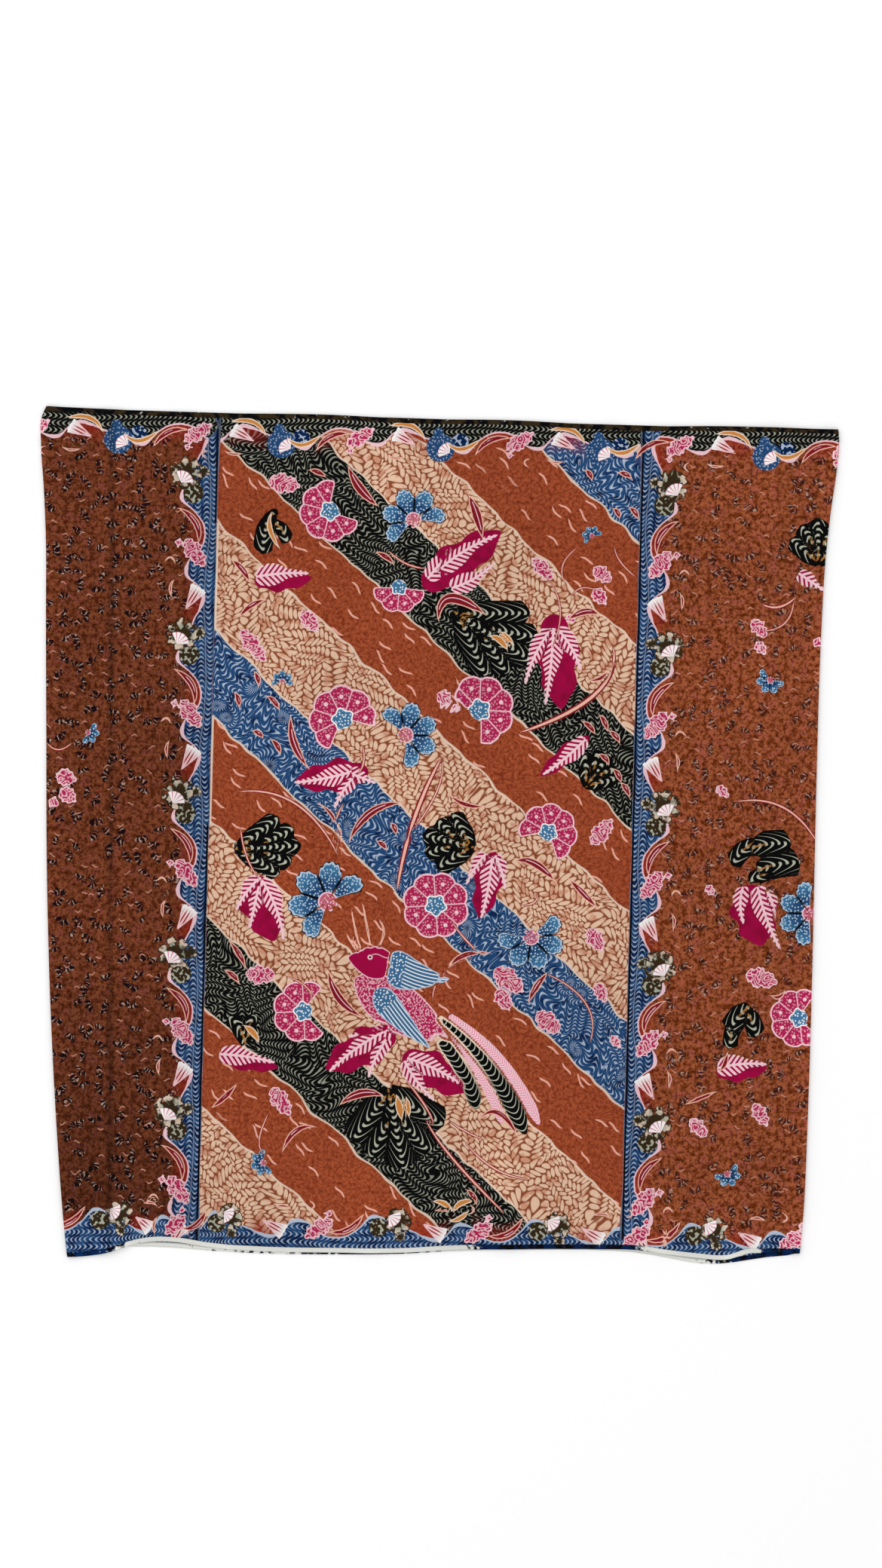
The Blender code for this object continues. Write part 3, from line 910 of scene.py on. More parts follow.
PITCH = 203.5  # from one border flower to the next, in mm
HEAD_LEFT_MM = -281.0
HEAD_RIGHT_MM = 257.0
SIDE_FLOWERS = (-456.0, -251.0, -49.0, 154.0, 353.0)
BOTTOM_FLOWERS = (-371.0, -172.0, 30.0, 242.0, 384.0, 587.0)
TOP_FLOWERS = (-611.0, -405.0, -198.0, 4.0, 207.0, 418.0)
# The wave of a border: shares of the way between flowers, and how far out its edge stands there.
WAVE = Table((
    (0, 34), (0.08, 42), (0.15, 44), (0.22, 28), (0.29, 17), (0.37, 14), (0.44, 18), (0.5, 30),
    (0.56, 36), (0.63, 34), (0.68, 21), (0.74, 14), (0.81, 17), (0.89, 25), (1, 34),
))  # fmt: skip
NOWHERE = 1e3  # the distance from a strip that doesn't count, in mm
SIDE_INSET = 2.0  # how far behind its base line a side strip still counts, in mm


@dataclass(frozen=True)
class TrimLine:
    """One border strip's frame: its base line's origin, its two axes, and where flowers stand."""

    kind: Trim
    origin: Point
    along: Point
    outward: Point
    flowers: tuple[float, ...]
    reach: float

    def place(self, along: Grid) -> Grid:
        """Places along it counted in units: a flower stands at every whole number."""
        marks = (self.flowers[0] - PITCH, *self.flowers, self.flowers[-1] + PITCH)
        return np.interp(along, marks, np.arange(len(marks), dtype=float))

    def point(self, along: float, out: float) -> Point:
        """The cloth place of a point of the strip's own frame."""
        x = self.origin[0] + self.along[0] * along + self.outward[0] * out * self.reach
        return x, self.origin[1] + self.along[1] * along + self.outward[1] * out * self.reach

    def unit(self, flower: float, pitch: float) -> list[Motif]:
        """One unit: a curled flower, a ball, a red leaf, a blossom, a wedge and strokes.

        Args:
            flower: where its flower stands along the strip.
            pitch: how far it is to the next flower.

        Returns:
            The unit's motifs.
        """
        stretch = min(pitch / PITCH, 1.0)

        def at(*places: float) -> Row:
            """The cloth places of the unit's points, as one row."""
            pairs = zip(places[::2], places[1::2])
            return tuple(v for along, out in pairs for v in self.point(flower + along * stretch, out))

        facing = math.degrees(math.atan2(self.outward[1], self.outward[0]))
        reach = self.reach
        radius = 18.0 if self.kind is Trim.BOTTOM else 22.0 * reach
        made: list[Motif] = [
            Bloom(Style.CURL, *at(-3, 39), radius, turn=facing),
            Bloom(Style.CURL, *at(-6, 17), 8 * reach, turn=facing + 60),
            Bloom(Style.BALL, *at(22, 30), 13 * reach, turn=facing),
            Lobe(Style.BLOSSOM, *at(81, 39, 115, 13), 25 * reach, Profile.RIPPLED),
            Lobe(Style.BLOSSOM, *at(80, 46, 91, 48), 9 * reach, Profile.LEAF),
            Lobe(Style.WEDGE, *at(142, 20, 171, 37), 23 * reach, Profile.WEDGE),
            Stem(*at(42, 47, 60, 26, 84, 22), 8 * reach, 0.7),
            Stem(*at(109, 52, 104, 57, 108, 63), 1.6 * reach, 0.4),
            Stem(*at(134, 53, 142, 56, 153, 55), 3.6 * reach, 0.7),
        ]
        if self.kind is Trim.TOP:
            made.append(Stem(*at(6, 32, 24, 40, 46, 26), 6, 0.5, Style.AMBER))
            made.append(Stem(*at(-66, 8, -40, 8, -24, 26), 6, 0.5, Style.AMBER))
        return made

    def units(self) -> list[Motif]:
        """All its units, one for each flower."""
        steps = [*np.diff(self.flowers), PITCH]
        return [motif for pair in zip(self.flowers, steps) for motif in self.unit(*pair)]


TRIMS = (
    TrimLine(Trim.SIDE, (HEAD_LEFT_MM, 0.0), (0.0, -1.0), (-1.0, 0.0), SIDE_FLOWERS, 1.0),
    TrimLine(Trim.SIDE, (HEAD_RIGHT_MM, 0.0), (0.0, -1.0), (1.0, 0.0), SIDE_FLOWERS, 1.0),
    TrimLine(
        Trim.BOTTOM, (0.0, -519.0), (-1.0, 0.0), (0.0, 1.0),
        (*(-1380.0 + PITCH * step for step in range(5)), *BOTTOM_FLOWERS), 0.92,
    ),
    TrimLine(
        Trim.TOP, (0.0, 533.0), (1.0, 0.0), (0.0, -1.0),
        (*TOP_FLOWERS, *(621.0 + PITCH * step for step in range(4))), 0.86,
    ),
)  # fmt: skip


def all_motifs() -> list[Motif]:
    """Every motif of the cloth. The hidden back repeats the front's loose bouquets, moved.

    Returns:
        The borders' motifs, then the head panel's, the bird, and the loose bouquets.
    """
    loose = field_motifs()
    right = [motif for motif in loose if motif.x > 0]
    left = [motif for motif in loose if motif.x < 0]
    copies = ((right, 330, 60), (right, 610, -40), (left, 1290, 210), (left, 1130, -160))
    hidden = [moved(motif, by_x, by_y) for some, by_x, by_y in copies for motif in some]
    borders = [motif for trim in TRIMS for motif in trim.units()]
    return [*borders, *head_panel_motifs(), *bird_motifs(), *loose, *hidden]


@dataclass
class MotifLayer:
    """The contest of one layer's motifs for each point: who is nearest, and who is next."""

    count: int
    style: Grid = field(init=False)
    along: Grid = field(init=False)
    across: Grid = field(init=False)
    nearest: Grid = field(init=False)
    second: Grid = field(init=False)
    offset: Grid = field(init=False)

    def __post_init__(self) -> None:
        """Starts with no motif anywhere near."""
        self.style, self.along, self.across, self.offset = np.zeros((4, self.count))
        self.nearest, self.second = np.full((2, self.count), FAR)

    def enter(self, where: Grid, motif: Motif, reading: Reading) -> None:
        """Enters one motif for the points near it.

        Args:
            where: indices of those points.
            motif: the motif.
            reading: what the points read of it.
        """
        wins = reading.distance < self.nearest[where]
        won = where[wins]
        lost = where[~wins]
        self.second[won] = self.nearest[won]
        self.nearest[won] = reading.distance[wins]
        self.along[won] = reading.along[wins]
        self.across[won] = reading.across[wins]
        self.offset[won] = (reading.stored - reading.distance)[wins]
        self.style[won] = motif.style
        self.second[lost] = np.minimum(self.second[lost], reading.distance[~wins])

    def settle(self) -> tuple[Grid, Grid]:
        """The layer's two attributes.

        The edge value is the nearest distance, raised along the line where two motifs are
        equally near, so that a thin gap parts them. Away from any stem the sign of the side
        is dropped, or it would flip between two stems and draw a line there.

        Returns:
            The vector (along, across, edge value), and the style.
        """
        edge = np.maximum(self.nearest, (self.nearest - self.second) / 2 + PARTING)
        stem_far = (self.offset != 0) & (self.nearest > STEM_REACH)
        across = np.where(stem_far, 0.0, self.across)
        edge = np.where(stem_far, edge, edge + self.offset)
        return np.stack([self.along, across, edge], axis=1), self.style


def pattern_attributes(around: Grid, up: Grid, motifs: Iterable[Motif]) -> dict[str, Grid]:
    """What the materials need to know of the pattern at each point.

    Args:
        around: places round the tube, in mm.
        up: places up the cloth (plan Y), in mm.
        motifs: the motifs to draw.

    Returns:
        Attribute arrays by name. An array of two dimensions is a vector attribute.
    """
    layers = {name: MotifLayer(len(around)) for name in LAYERS}
    for motif in motifs:
        centre_x, centre_y, reach = motif.window()
        near = (np.abs(around - centre_x) < reach) & (np.abs(up - centre_y) < reach)
        where = np.flatnonzero(near)
        if len(where):
            name = UNDER if motif.style in UNDER_STYLES else TOP if motif.style in TOP_STYLES else OVER
            layers[name].enter(where, motif, motif.read(around[where], up[where]))
    made: dict[str, Grid] = {"cloth_mm": np.stack([around, up, np.zeros_like(up)], axis=1)}
    for name, layer in layers.items():
        made[name], made[name + "_style"] = layer.settle()
    made["trim"], made["trim_kind"] = trim_attributes(around, up)
    made["band"] = band_number(around, up)
    return made


def trim_attributes(around: Grid, up: Grid) -> tuple[Grid, Grid]:
    """The nearest border strip's frame at each point.

    Args:
        around: places round the tube, in mm.
        up: places up the cloth, in mm.

    Returns:
        The vector (along, outward, distance outside its wave edge), along being counted so
        that a flower stands at every whole pitch and outward over the strip's own reach, and
        the kind of strip.
    """
    best = np.full(len(around), NOWHERE)
    frame_of = np.zeros((len(around), 3))
    kind = np.zeros(len(around))
    for trim in TRIMS:
        from_x = around - trim.origin[0]
        from_y = up - trim.origin[1]
        outward = from_x * trim.outward[0] + from_y * trim.outward[1]
        place = trim.place(from_x * trim.along[0] + from_y * trim.along[1])
        edge = outward - WAVE.read(1, np.mod(place, 1.0)) * trim.reach
        if trim.kind is Trim.SIDE:
            edge = np.where(outward < -SIDE_INSET, NOWHERE, edge)
        closer = edge < best
        best = np.where(closer, edge, best)
        kind = np.where(closer, float(trim.kind.value), kind)
        frame_of[closer] = np.stack([place * PITCH, outward / trim.reach, edge], axis=1)[closer]
    frame_of[:, 2] = np.minimum(best, FAR)
    return frame_of, kind


# The slanting bands of the head panel, from the top corner down: the height of each edge where
# it meets the panel's left side, with one more far up and one far down. They fall by this slope.
BAND_SLOPE = 0.9
BAND_EDGES_MM = (980, 870, 736, 626, 506, 399, 262, 150, 22, -102, -217, -344, -480, -880)


def band_number(around: Grid, up: Grid) -> Grid:
    """Which slanting band a point lies in: whole numbers are the edges, counted downwards."""
    height = up + BAND_SLOPE * (around - HEAD_LEFT_MM)
    return np.interp(-height, -np.array(BAND_EDGES_MM, float), np.arange(float(len(BAND_EDGES_MM))))


# ---------------------------------------------------------------------------------------------
# Materials: a small language for node trees, then the cloth's own painting
# ---------------------------------------------------------------------------------------------

LIGHT_LEVEL = 1.12  # how much brighter than its own colour a flat white thing looks in the studio
DARKEST = 0.0005  # the least that any dye lets back
SURFACE_GLOSS = 0.010  # what cotton reflects of the white surroundings, whatever its dye


class Dye(Enum):
    """The cloth's colours, as they look on a screen, from 0 to 255."""

    UNDYED = (216, 216, 210)
    CREAM = (228, 204, 184)
    TAN = (219, 184, 157)
    TAN_SHADE = (196, 142, 116)
    TAN_GAP = (134, 74, 50)
    BROWN = (163, 82, 54)
    BROWN_DEEP = (126, 56, 36)
    BROWN_CURL = (104, 40, 24)
    RUSSET = (158, 88, 58)
    UMBER = (104, 50, 28)
    BRICK = (158, 84, 70)
    STIPPLE = (66, 26, 12)
    SOOT = (40, 28, 32)
    ASH = (172, 150, 138)
    LIGHT_RUSSET = (196, 140, 122)
    LIGHT_PEACH = (226, 164, 146)
    INK = (18, 20, 28)
    NAVY = (42, 72, 112)
    NAVY_DEEP = (24, 42, 76)
    ICE = (178, 190, 208)
    BLACK_GREEN = (22, 20, 18)
    SAGE = (176, 178, 160)
    OCHRE = (168, 112, 52)
    AMBER = (196, 128, 66)
    CRIMSON = (152, 26, 66)
    CRIMSON_DEEP = (104, 18, 42)
    RED = (146, 40, 36)
    MAGENTA = (170, 42, 84)
    ROSE = (214, 128, 150)
    PALE_ROSE = (234, 194, 202)
    SHELL = (230, 188, 192)
    STALK = (124, 34, 42)
    STALK_LIGHT = (230, 178, 160)
    OLIVE = (56, 46, 34)
    SKY = (66, 114, 152)
    PALE_SKY = (186, 208, 220)
    WHITE = (238, 236, 234)

    @property
    def albedo(self) -> Row:
        """The linear colour that shows as this one under the studio's light.

        Each level goes through the screen's own curve, less the gloss, over the light's level.

        Returns:
            Its three parts.
        """
        linear = []
        for level in self.value:
            share = level / 255
            curved = ((share + 0.055) / 1.055) ** 2.4 if share > 0.04045 else share / 12.92
            linear.append(max(curved - SURFACE_GLOSS, DARKEST) / LIGHT_LEVEL)
        return tuple(linear)


Value: TypeAlias = "Term | float"
Colour = Dye | Socket


class Term:
    """A number in a material's node tree. Arithmetic on it adds nodes to the tree."""

    def __init__(self, recipe: "Recipe", socket: Socket) -> None:
        """Wraps an output socket of a recipe's tree."""
        self.recipe = recipe
        self.socket = socket

    def __add__(self, other: Value) -> "Term":
        """The sum."""
        return self.recipe.maths("ADD", self, other)

    def __sub__(self, other: Value) -> "Term":
        """The difference."""
        return self.recipe.maths("SUBTRACT", self, other)

    def __rsub__(self, other: float) -> "Term":
        """The difference from a plain number."""
        return self.recipe.maths("SUBTRACT", other, self)

    def __mul__(self, other: Value) -> "Term":
        """The product."""
        return self.recipe.maths("MULTIPLY", self, other)

    def __truediv__(self, other: Value) -> "Term":
        """The quotient."""
        return self.recipe.maths("DIVIDE", self, other)

    def times_plus(self, factor: Value, plus: Value) -> "Term":
        """Multiplied, then added to, in one node."""
        return self.recipe.maths("MULTIPLY_ADD", self, factor, plus)

    def size(self) -> "Term":
        """Without its sign."""
        return self.recipe.maths("ABSOLUTE", self)

    def floor(self) -> "Term":
        """The whole number below."""
        return self.recipe.maths("FLOOR", self)

    def fraction(self) -> "Term":
        """What is over that whole number."""
        return self.recipe.maths("FRACT", self)

    def sine(self) -> "Term":
        """Its sine, in radians."""
        return self.recipe.maths("SINE", self)

    def cosine(self) -> "Term":
        """Its cosine, in radians."""
        return self.recipe.maths("COSINE", self)

    def most(self, other: "Term") -> "Term":
        """The larger of the two."""
        return self.recipe.maths("MAXIMUM", self, other)

    def above(self, limit: float, soft: float) -> "Term":
        """1 above the limit and 0 below, changing evenly over "soft"."""
        return self.recipe.maths("MULTIPLY_ADD", self, 1 / soft, 0.5 - limit / soft, clamp=True)

    def below(self, limit: float, soft: float) -> "Term":
        """1 below the limit and 0 above, changing evenly over "soft"."""
        return self.recipe.maths("MULTIPLY_ADD", self, -1 / soft, 0.5 + limit / soft, clamp=True)

    def near(self, centre: float, half: float, soft: float) -> "Term":
        """1 within "half" of the centre and 0 outside, changing evenly over "soft"."""
        return (self - centre).size().below(half, soft)

    def stripes(self, half: float, soft: float) -> "Term":
        """1 within "half" of the middle between each two whole numbers, and 0 elsewhere."""
        return self.fraction().near(0.5, half, soft)

    def equals(self, whole: float) -> "Term":
        """1 where it is that whole number, and 0 elsewhere."""
        return self.recipe.maths("COMPARE", self, whole, 0.4)

    def flip(self) -> "Term":
        """1 where this whole number is even, and -1 where it is odd."""
        return self.recipe.maths("PINGPONG", self, 1.0).times_plus(-2.0, 1.0)


class Cells(NamedTuple):
    """Scattered cells: the distance to the nearest centre in mm, three chances, and the centre."""

    distance: Term
    chance: tuple[Term, ...]
    centre: tuple[Term, ...]


class Recipe:
    """Builds one material's node tree."""

    def __init__(self, name: str) -> None:
        """Starts an empty material of that name."""
        self.material = bpy.data.materials.new(name)
        self.material.use_nodes = True
        self.tree = self.material.node_tree
        self.tree.nodes.clear()

    def node(self, kind: str, inputs: dict[int | str, object], **settings: object) -> bpy.types.Node:
        """Adds a node.

        Args:
            kind: the shader node's type, without its prefix.
            inputs: what each input gets: a link, a dye or a plain value.
            settings: the node's options.

        Returns:
            The node.
        """
        made = self.tree.nodes.new("ShaderNode" + kind)
        for name, value in settings.items():
            setattr(made, name, value)
        for key, value in inputs.items():
            if isinstance(value, Term):
                value = value.socket
            if isinstance(value, Socket):
                self.tree.links.new(value, made.inputs[key])
            else:
                plain = (*value.albedo, 1.0) if isinstance(value, Dye) else value
                made.inputs[key].default_value = plain
        return made

    def maths(self, operation: str, *values: Value, clamp: bool = False) -> Term:
        """One arithmetic node."""
        made = self.node("Math", dict(enumerate(values)), operation=operation, use_clamp=clamp)
        return Term(self, made.outputs[0])

    def hypot(self, a: Term, b: Term) -> Term:
        """The length of a two-part vector."""
        return self.maths("SQRT", a.times_plus(a, b * b))

    def angle(self, a: Term, b: Term) -> Term:
        """The bearing of a two-part vector, in radians."""
        return self.maths("ARCTAN2", b, a)

    def turned(self, x: Term, y: Term, by: Term) -> tuple[Term, Term]:
        """A two-part vector as it reads on axes turned by an angle."""
        return x * by.cosine() + y * by.sine(), y * by.cosine() - x * by.sine()

    def mix(self, cover: Value, under: Colour, over: Colour) -> Socket:
        """One colour over another, by a share."""
        inputs = {0: cover, 6: under, 7: over}
        return self.node("Mix", inputs, data_type="RGBA", clamp_factor=True).outputs[2]

    def shaded(self, colour: Socket, by: Term) -> Socket:
        """A colour times a number."""
        inputs = {0: 1.0, 6: colour, 7: by}
        return self.node("Mix", inputs, data_type="RGBA", blend_type="MULTIPLY").outputs[2]

    def parts(self, whole: Socket, kind: str = "SeparateXYZ") -> tuple[Term, ...]:
        """The three parts of a vector or, with the other kind, of a colour."""
        return tuple(Term(self, socket) for socket in self.node(kind, {0: whole}).outputs)

    def join(self, x: Term, y: Term) -> Socket:
        """A vector of two parts."""
        return self.node("CombineXYZ", {0: x, 1: y}).outputs[0]

    def vector_attribute(self, name: str) -> Socket:
        """A vector that the mesh's points carry."""
        return self.node("Attribute", {}, attribute_name=name).outputs["Vector"]

    def number_attribute(self, name: str) -> Term:
        """A number that the mesh's points carry."""
        return Term(self, self.node("Attribute", {}, attribute_name=name).outputs["Fac"])

    def noise_node(self, place: Socket, size: float, detail: float) -> bpy.types.Node:
        """A plane noise whose blobs are about "size" mm across."""
        inputs = {"Vector": place, "Scale": 1 / size, "Detail": detail}
        return self.node("TexNoise", inputs, noise_dimensions="2D")

    def noise(self, place: Socket, size: float, detail: float = 1.0) -> Term:
        """That noise as a number, from 0 to 1 with its middle at 0.5."""
        return Term(self, self.noise_node(place, size, detail).outputs["Fac"])

    def cells(self, place: Socket, pitch: float, jitter: float = 1.0) -> Cells:
        """Scattered cells.

        Args:
            place: the place that is read.
            pitch: about how far apart their centres are.
            jitter: from 0, in a square grid, to 1, anywhere in their squares.

        Returns:
            The nearest one's terms.
        """
        inputs = {"Vector": place, "Scale": 1 / pitch, "Randomness": jitter}
        out = self.node("TexVoronoi", inputs, voronoi_dimensions="2D").outputs
        chance = self.parts(out["Color"], "SeparateColor")
        return Cells(Term(self, out["Distance"]) * pitch, chance, self.parts(out["Position"]))

    def surface(self, inputs: dict[int | str, object]) -> None:
        """Ends the tree: a surface with these inputs, linked to the material's output."""
        shader = self.node("BsdfPrincipled", inputs)
        self.node("OutputMaterial", {"Surface": shader.outputs[0]})


class MotifTerms(NamedTuple):
    """One layer's motif as a material reads it, its edge already made to wander by hand."""

    along: Term
    across: Term
    edge: Term
    style: Term

    def of(self, style: Style) -> Term:
        """1 on motifs of that style, and 0 elsewhere."""
        return self.style.equals(style)


class Dashes(NamedTuple):
    """Scattered dashes: their spacing along and across, half a length and half a thickness."""

    pitch_along: float
    pitch_across: float
    half_length: float
    half_thickness: float


FIELD_DASHES = Dashes(31.0, 27.0, 4.2, 0.8)
BAND_DASHES = Dashes(41.0, 22.0, 10.0, 1.25)

# Places on the cloth, in mm.
EYE = (-71.5, -149.0)
BROW = (-57.0, -147.0)
BACK_BEGINS = -530.0  # how far round, to the left, the darker dye and painted shade of the front's left side have ended
FIELD_SPLIT = 300.0  # over this width, round the cloth's middle, left turns into right
FAN_FOOT = (-9.0, 46.0)  # a border flower's pale fan, from the flower along and outward
FAN_COSINE = 0.85  # that fan's heading
FAN_SINE = 0.53


@dataclass(frozen=True)
class WaxResist:
    """How the resist was drawn by hand: its lines' widths and wander, in mm."""

    wander: float = 1.1
    wander_size: float = 6.5
    flow: float = 36.0
    flow_size: float = 62.0
    blotch_size: float = 14.0
    grain_size: float = 3.4
    field_mottle: float = 7.0
    band_mottle: float = 5.0
    curl_size: float = 26.0
    vein_size: float = 12.0
    speck_size: float = 4.6
    scroll_size: float = 16.0
    dot_pitch: float = 4.0
    dot_radius: float = 0.9
    soft: float = 0.7
    crescent_row: float = 9.6
    crescent_pitch: float = 5.6
    border_row: float = 10.4
    border_pitch: float = 6.2
    leaflet_row: float = 10.4
    leaflet_pitch: float = 7.75
    row_shift: float = 0.37
    rings_arcs: float = 18.0
    spray_size: float = 50.0
    fan_pitch: float = 21.0
    dash_slant: float = 0.7


# Sizes in the flowers' own mm, in which every bloom's radius is BLOOM_SCALE. A ring is a
# distance from the centre, and a rim a distance inside the edge.


@dataclass(frozen=True)
class RoseSizes:
    """A rose's petals, the spot and the line in each, its rim, and its star-shaped heart."""

    notch: float = 17.0
    spot_ring: float = 26.0
    spot: float = 2.4
    divider: float = 0.9
    rim: float = 1.2
    star_points: float = 5.0
    star_depth: float = 1.5
    heart_edge: float = 12.4
    heart: float = 10.6
    heart_dots: float = 9.6


@dataclass(frozen=True)
class BlueFlowerSizes:
    """A blue flower's petals, their frilled edge, rim and dividing line, and its heart."""

    notch: float = 54.0
    frills: float = 37.0
    frill_depth: float = 0.9
    halo: float = 0.8
    light_ring: float = 26.0
    rim: float = 1.8
    divider: float = 1.4
    heart_edge: float = 9.8
    heart: float = 8.4
    heart_dots: float = 7.5


@dataclass(frozen=True)
class CurlSizes:
    """A border flower's lumps round its ring, the ring's edge, its heart, and its pale fan."""

    lumps: int = 7
    lump_arc: float = 27.0
    lump_ring: float = 26.0
    lump: float = 9.5
    ring: float = 38.0
    dots_from: float = 14.0
    heart: float = 20.0
    fan: float = 15.0
    fan_spread: float = 1.0
    rays: float = 2.4


@dataclass(frozen=True)
class BirdSizes:
    """The bird's eye, brow and shoulder, and the stripes of its wings, tail and plumes, in mm."""

    eye_ring: float = 3.2
    eye: float = 1.5
    brow_height: float = 2.2
    brow_waves: float = 0.22
    brow_half: float = 12.0
    shoulder: float = 26.0
    wing_stripe: float = 4.4
    tail_stripe: float = 8.0
    tail_bend: float = 0.013
    plume_stripe: float = 3.6
    plume_bend: float = 0.25


@dataclass(frozen=True)
class LeafSizes:
    """The stripes of fronds, dark leaves and wedges: their pitch and bend, and line widths."""

    frond_stripe: float = 7.2
    frond_slant: float = 0.85
    frond_notch: float = 4.4
    frond_rim: float = 2.2
    midrib: float = 1.5
    lobe_stripe: float = 8.2
    lobe_bend: float = 0.02
    lobe_rib: float = 1.2
    lobe_foot: float = 17.0
    wedge_groove: float = 4.2
    blossom_ripple: float = 0.9


ROSE = RoseSizes()
BLUE_FLOWER = BlueFlowerSizes()
CURL = CurlSizes()
BIRD = BirdSizes()
LEAF = LeafSizes()


class Pattern(Recipe):
    """Paints the batik of one strip: its ground, its borders and its three layers of motifs.

    It keeps the colour painted so far. Each new paint goes over it where its cover says.
    """

    def __init__(self, name: str, hand: WaxResist) -> None:
        """Sets up what all paints share: the place, the wander, the flow, dots and motifs.

        Args:
            name: the material's name.
            hand: the sizes of the hand's work.
        """
        super().__init__(name)
        self.hand = hand
        self.place = self.vector_attribute("cloth_mm")
        self.x, self.y, _ = self.parts(self.place)
        self.wander = self.noise(self.place, hand.wander_size) - 0.5
        flow = self.noise_node(self.place, hand.flow_size, 1.0).outputs["Color"]
        flow_x, flow_y, _ = self.parts(flow, "SeparateColor")
        self.flow_x = (flow_x - 0.5) * hand.flow
        self.flow_y = (flow_y - 0.5) * hand.flow
        self.blotch = self.noise(self.place, hand.blotch_size, 2)
        self.grain = self.noise(self.place, hand.grain_size)
        self.dots = self.cells(self.place, hand.dot_pitch, 0.85).distance.below(hand.dot_radius, 0.8)
        self.under, self.over, self.top = map(self.motif, LAYERS)
        self.out = self.hypot(self.over.along, self.over.across)
        self.bearing = self.angle(self.over.along, self.over.across)
        self.trim_along, self.trim_out, self.trim_edge = self.parts(self.vector_attribute("trim"))
        self.trim_kind = self.number_attribute("trim_kind")
        self.at_waist = self.trim_kind.equals(Trim.TOP.value)
        # Up this stretch the head panel's left side has a pale line in place of a dark one.
        self.pale_stretch = self.y.near(205.0, 190.0, 4.0)
        self.colour: Colour = Dye.UNDYED

    def motif(self, layer: str) -> MotifTerms:
        """Reads one layer's attributes.

        Args:
            layer: which layer.

        Returns:
            Its terms.
        """
        along, across, edge = self.parts(self.vector_attribute(layer))
        style = self.number_attribute(layer + "_style")
        return MotifTerms(along, across, self.wander.times_plus(self.hand.wander, edge), style)

    def lay(self, colour: Colour, cover: Term) -> None:
        """Lays a colour over what is painted so far."""
        self.colour = self.mix(cover, self.colour, colour)

    def shade(self, by: Term) -> None:
        """Darkens or lightens all that is painted so far."""
        self.colour = self.shaded(self.colour, by)

    def rows(self, across: Term, width: float) -> tuple[Term, Term]:
        """Rows of one width: each one's whole number, and how far off its middle a point is."""
        lane = across / width
        return lane.floor(), lane - lane.floor() - 0.5

    def crescents(self, along: Term, across: Term, row: float, pitch: float) -> Term:
        """Rows of nested arcs, each row's arcs turned the other way from its neighbours'.

        In each row the arcs follow the curve along + bow x (distance from the row's middle)
        squared, repeated at the pitch. Each arc is thickest in the middle of its row and comes
        to nothing at its sides.

        Args:
            along: place along the rows.
            across: place across the rows.
            row: the width of a row.
            pitch: from one arc to the next.

        Returns:
            1 on an arc and 0 between.
        """
        index, off = self.rows(across, row)
        squared = off * off
        bent = squared.times_plus(4.2, (along * index.flip()) / pitch)
        place = index.times_plus(self.hand.row_shift, bent).fraction()
        return (squared.times_plus(-1.0, 0.18) - (place - 0.5).size()).above(0.0, 0.09)

    def leaflets(self, along: Term, across: Term) -> Term:
        """Rows of plump oval leaflets, each row's slanted the other way from its neighbours'.

        Args:
            along: place along the rows.
            across: place across the rows.

        Returns:
            1 in a leaflet and 0 between.
        """
        row = self.hand.leaflet_row
        pitch = self.hand.leaflet_pitch
        index, off = self.rows(across, row)
        slanted = (off * index.flip()).times_plus(0.6 * row / pitch, along / pitch)
        chain = index.times_plus(self.hand.row_shift, slanted).fraction() - 0.5
        return self.hypot(off / 0.47, chain / 0.43).below(1.0, 0.25)

    def fans(self) -> tuple[Term, Term]:
        """Small fans of uneven strokes, each at its own angle, and missing in places.

        Each fan is read in polar coordinates about its foot.

        Returns:
            1 on a fan's dark strokes, and 1 on the pale ones between them.
        """
        cells = self.cells(self.place, self.hand.fan_pitch)
        from_x = self.x - cells.centre[0]
        from_y = self.y - cells.centre[1]
        forward, beside = self.turned(from_x, from_y, cells.chance[1] * FULL_TURN)
        forward = forward + 6.0
        out = self.wander.times_plus(9.0, self.hypot(forward, beside)) - cells.chance[2] * 4.0
        bearing = self.angle(forward, beside)
        place = self.wander.times_plus(1.6, bearing * 1.5)
        sparse = self.x.above(0.0, FIELD_SPLIT).times_plus(0.2, 0.2)
        kept = (cells.chance[0] - sparse).above(0.0, 0.02) * bearing.size().below(0.95, 0.15)
        dark = (place + 0.5).stripes(0.3, 0.16) * out.near(5.0, 4.4, 1.4)
        pale = place.stripes(0.16, 0.14) * out.near(6.4, 2.6, 1.2)
        return dark * kept, pale * kept * self.grain.above(0.5, 0.1)

    def dashes(self, along: Term, across: Term, sizes: Dashes) -> Term:
        """Scattered short dashes, each at its own slant, and missing in places.

        Args:
            along: place along their common direction.
            across: place across it.
            sizes: their sizes.

        Returns:
            1 on a dash and 0 elsewhere.
        """
        pitch_along, pitch_across, half, thick = sizes
        cells = self.cells(self.join(along / pitch_along, across / pitch_across), 1.0)
        from_middle = along - cells.centre[0] * pitch_along
        beside = across - cells.centre[1] * pitch_across
        slant = cells.chance[1] * self.hand.dash_slant - self.hand.dash_slant / 2
        winding = cells.chance[2].times_plus(FULL_TURN, from_middle * (2.6 / half)).sine()
        off = slant.times_plus(from_middle, winding.times_plus(1.3, beside)).size()
        tapered = off.times_plus(half * 0.35 / thick, from_middle.size())
        kept = cells.chance[0].above(0.2, 0.02)
        return tapered.below(half, 1.0) * off.below(thick, 0.6) * kept

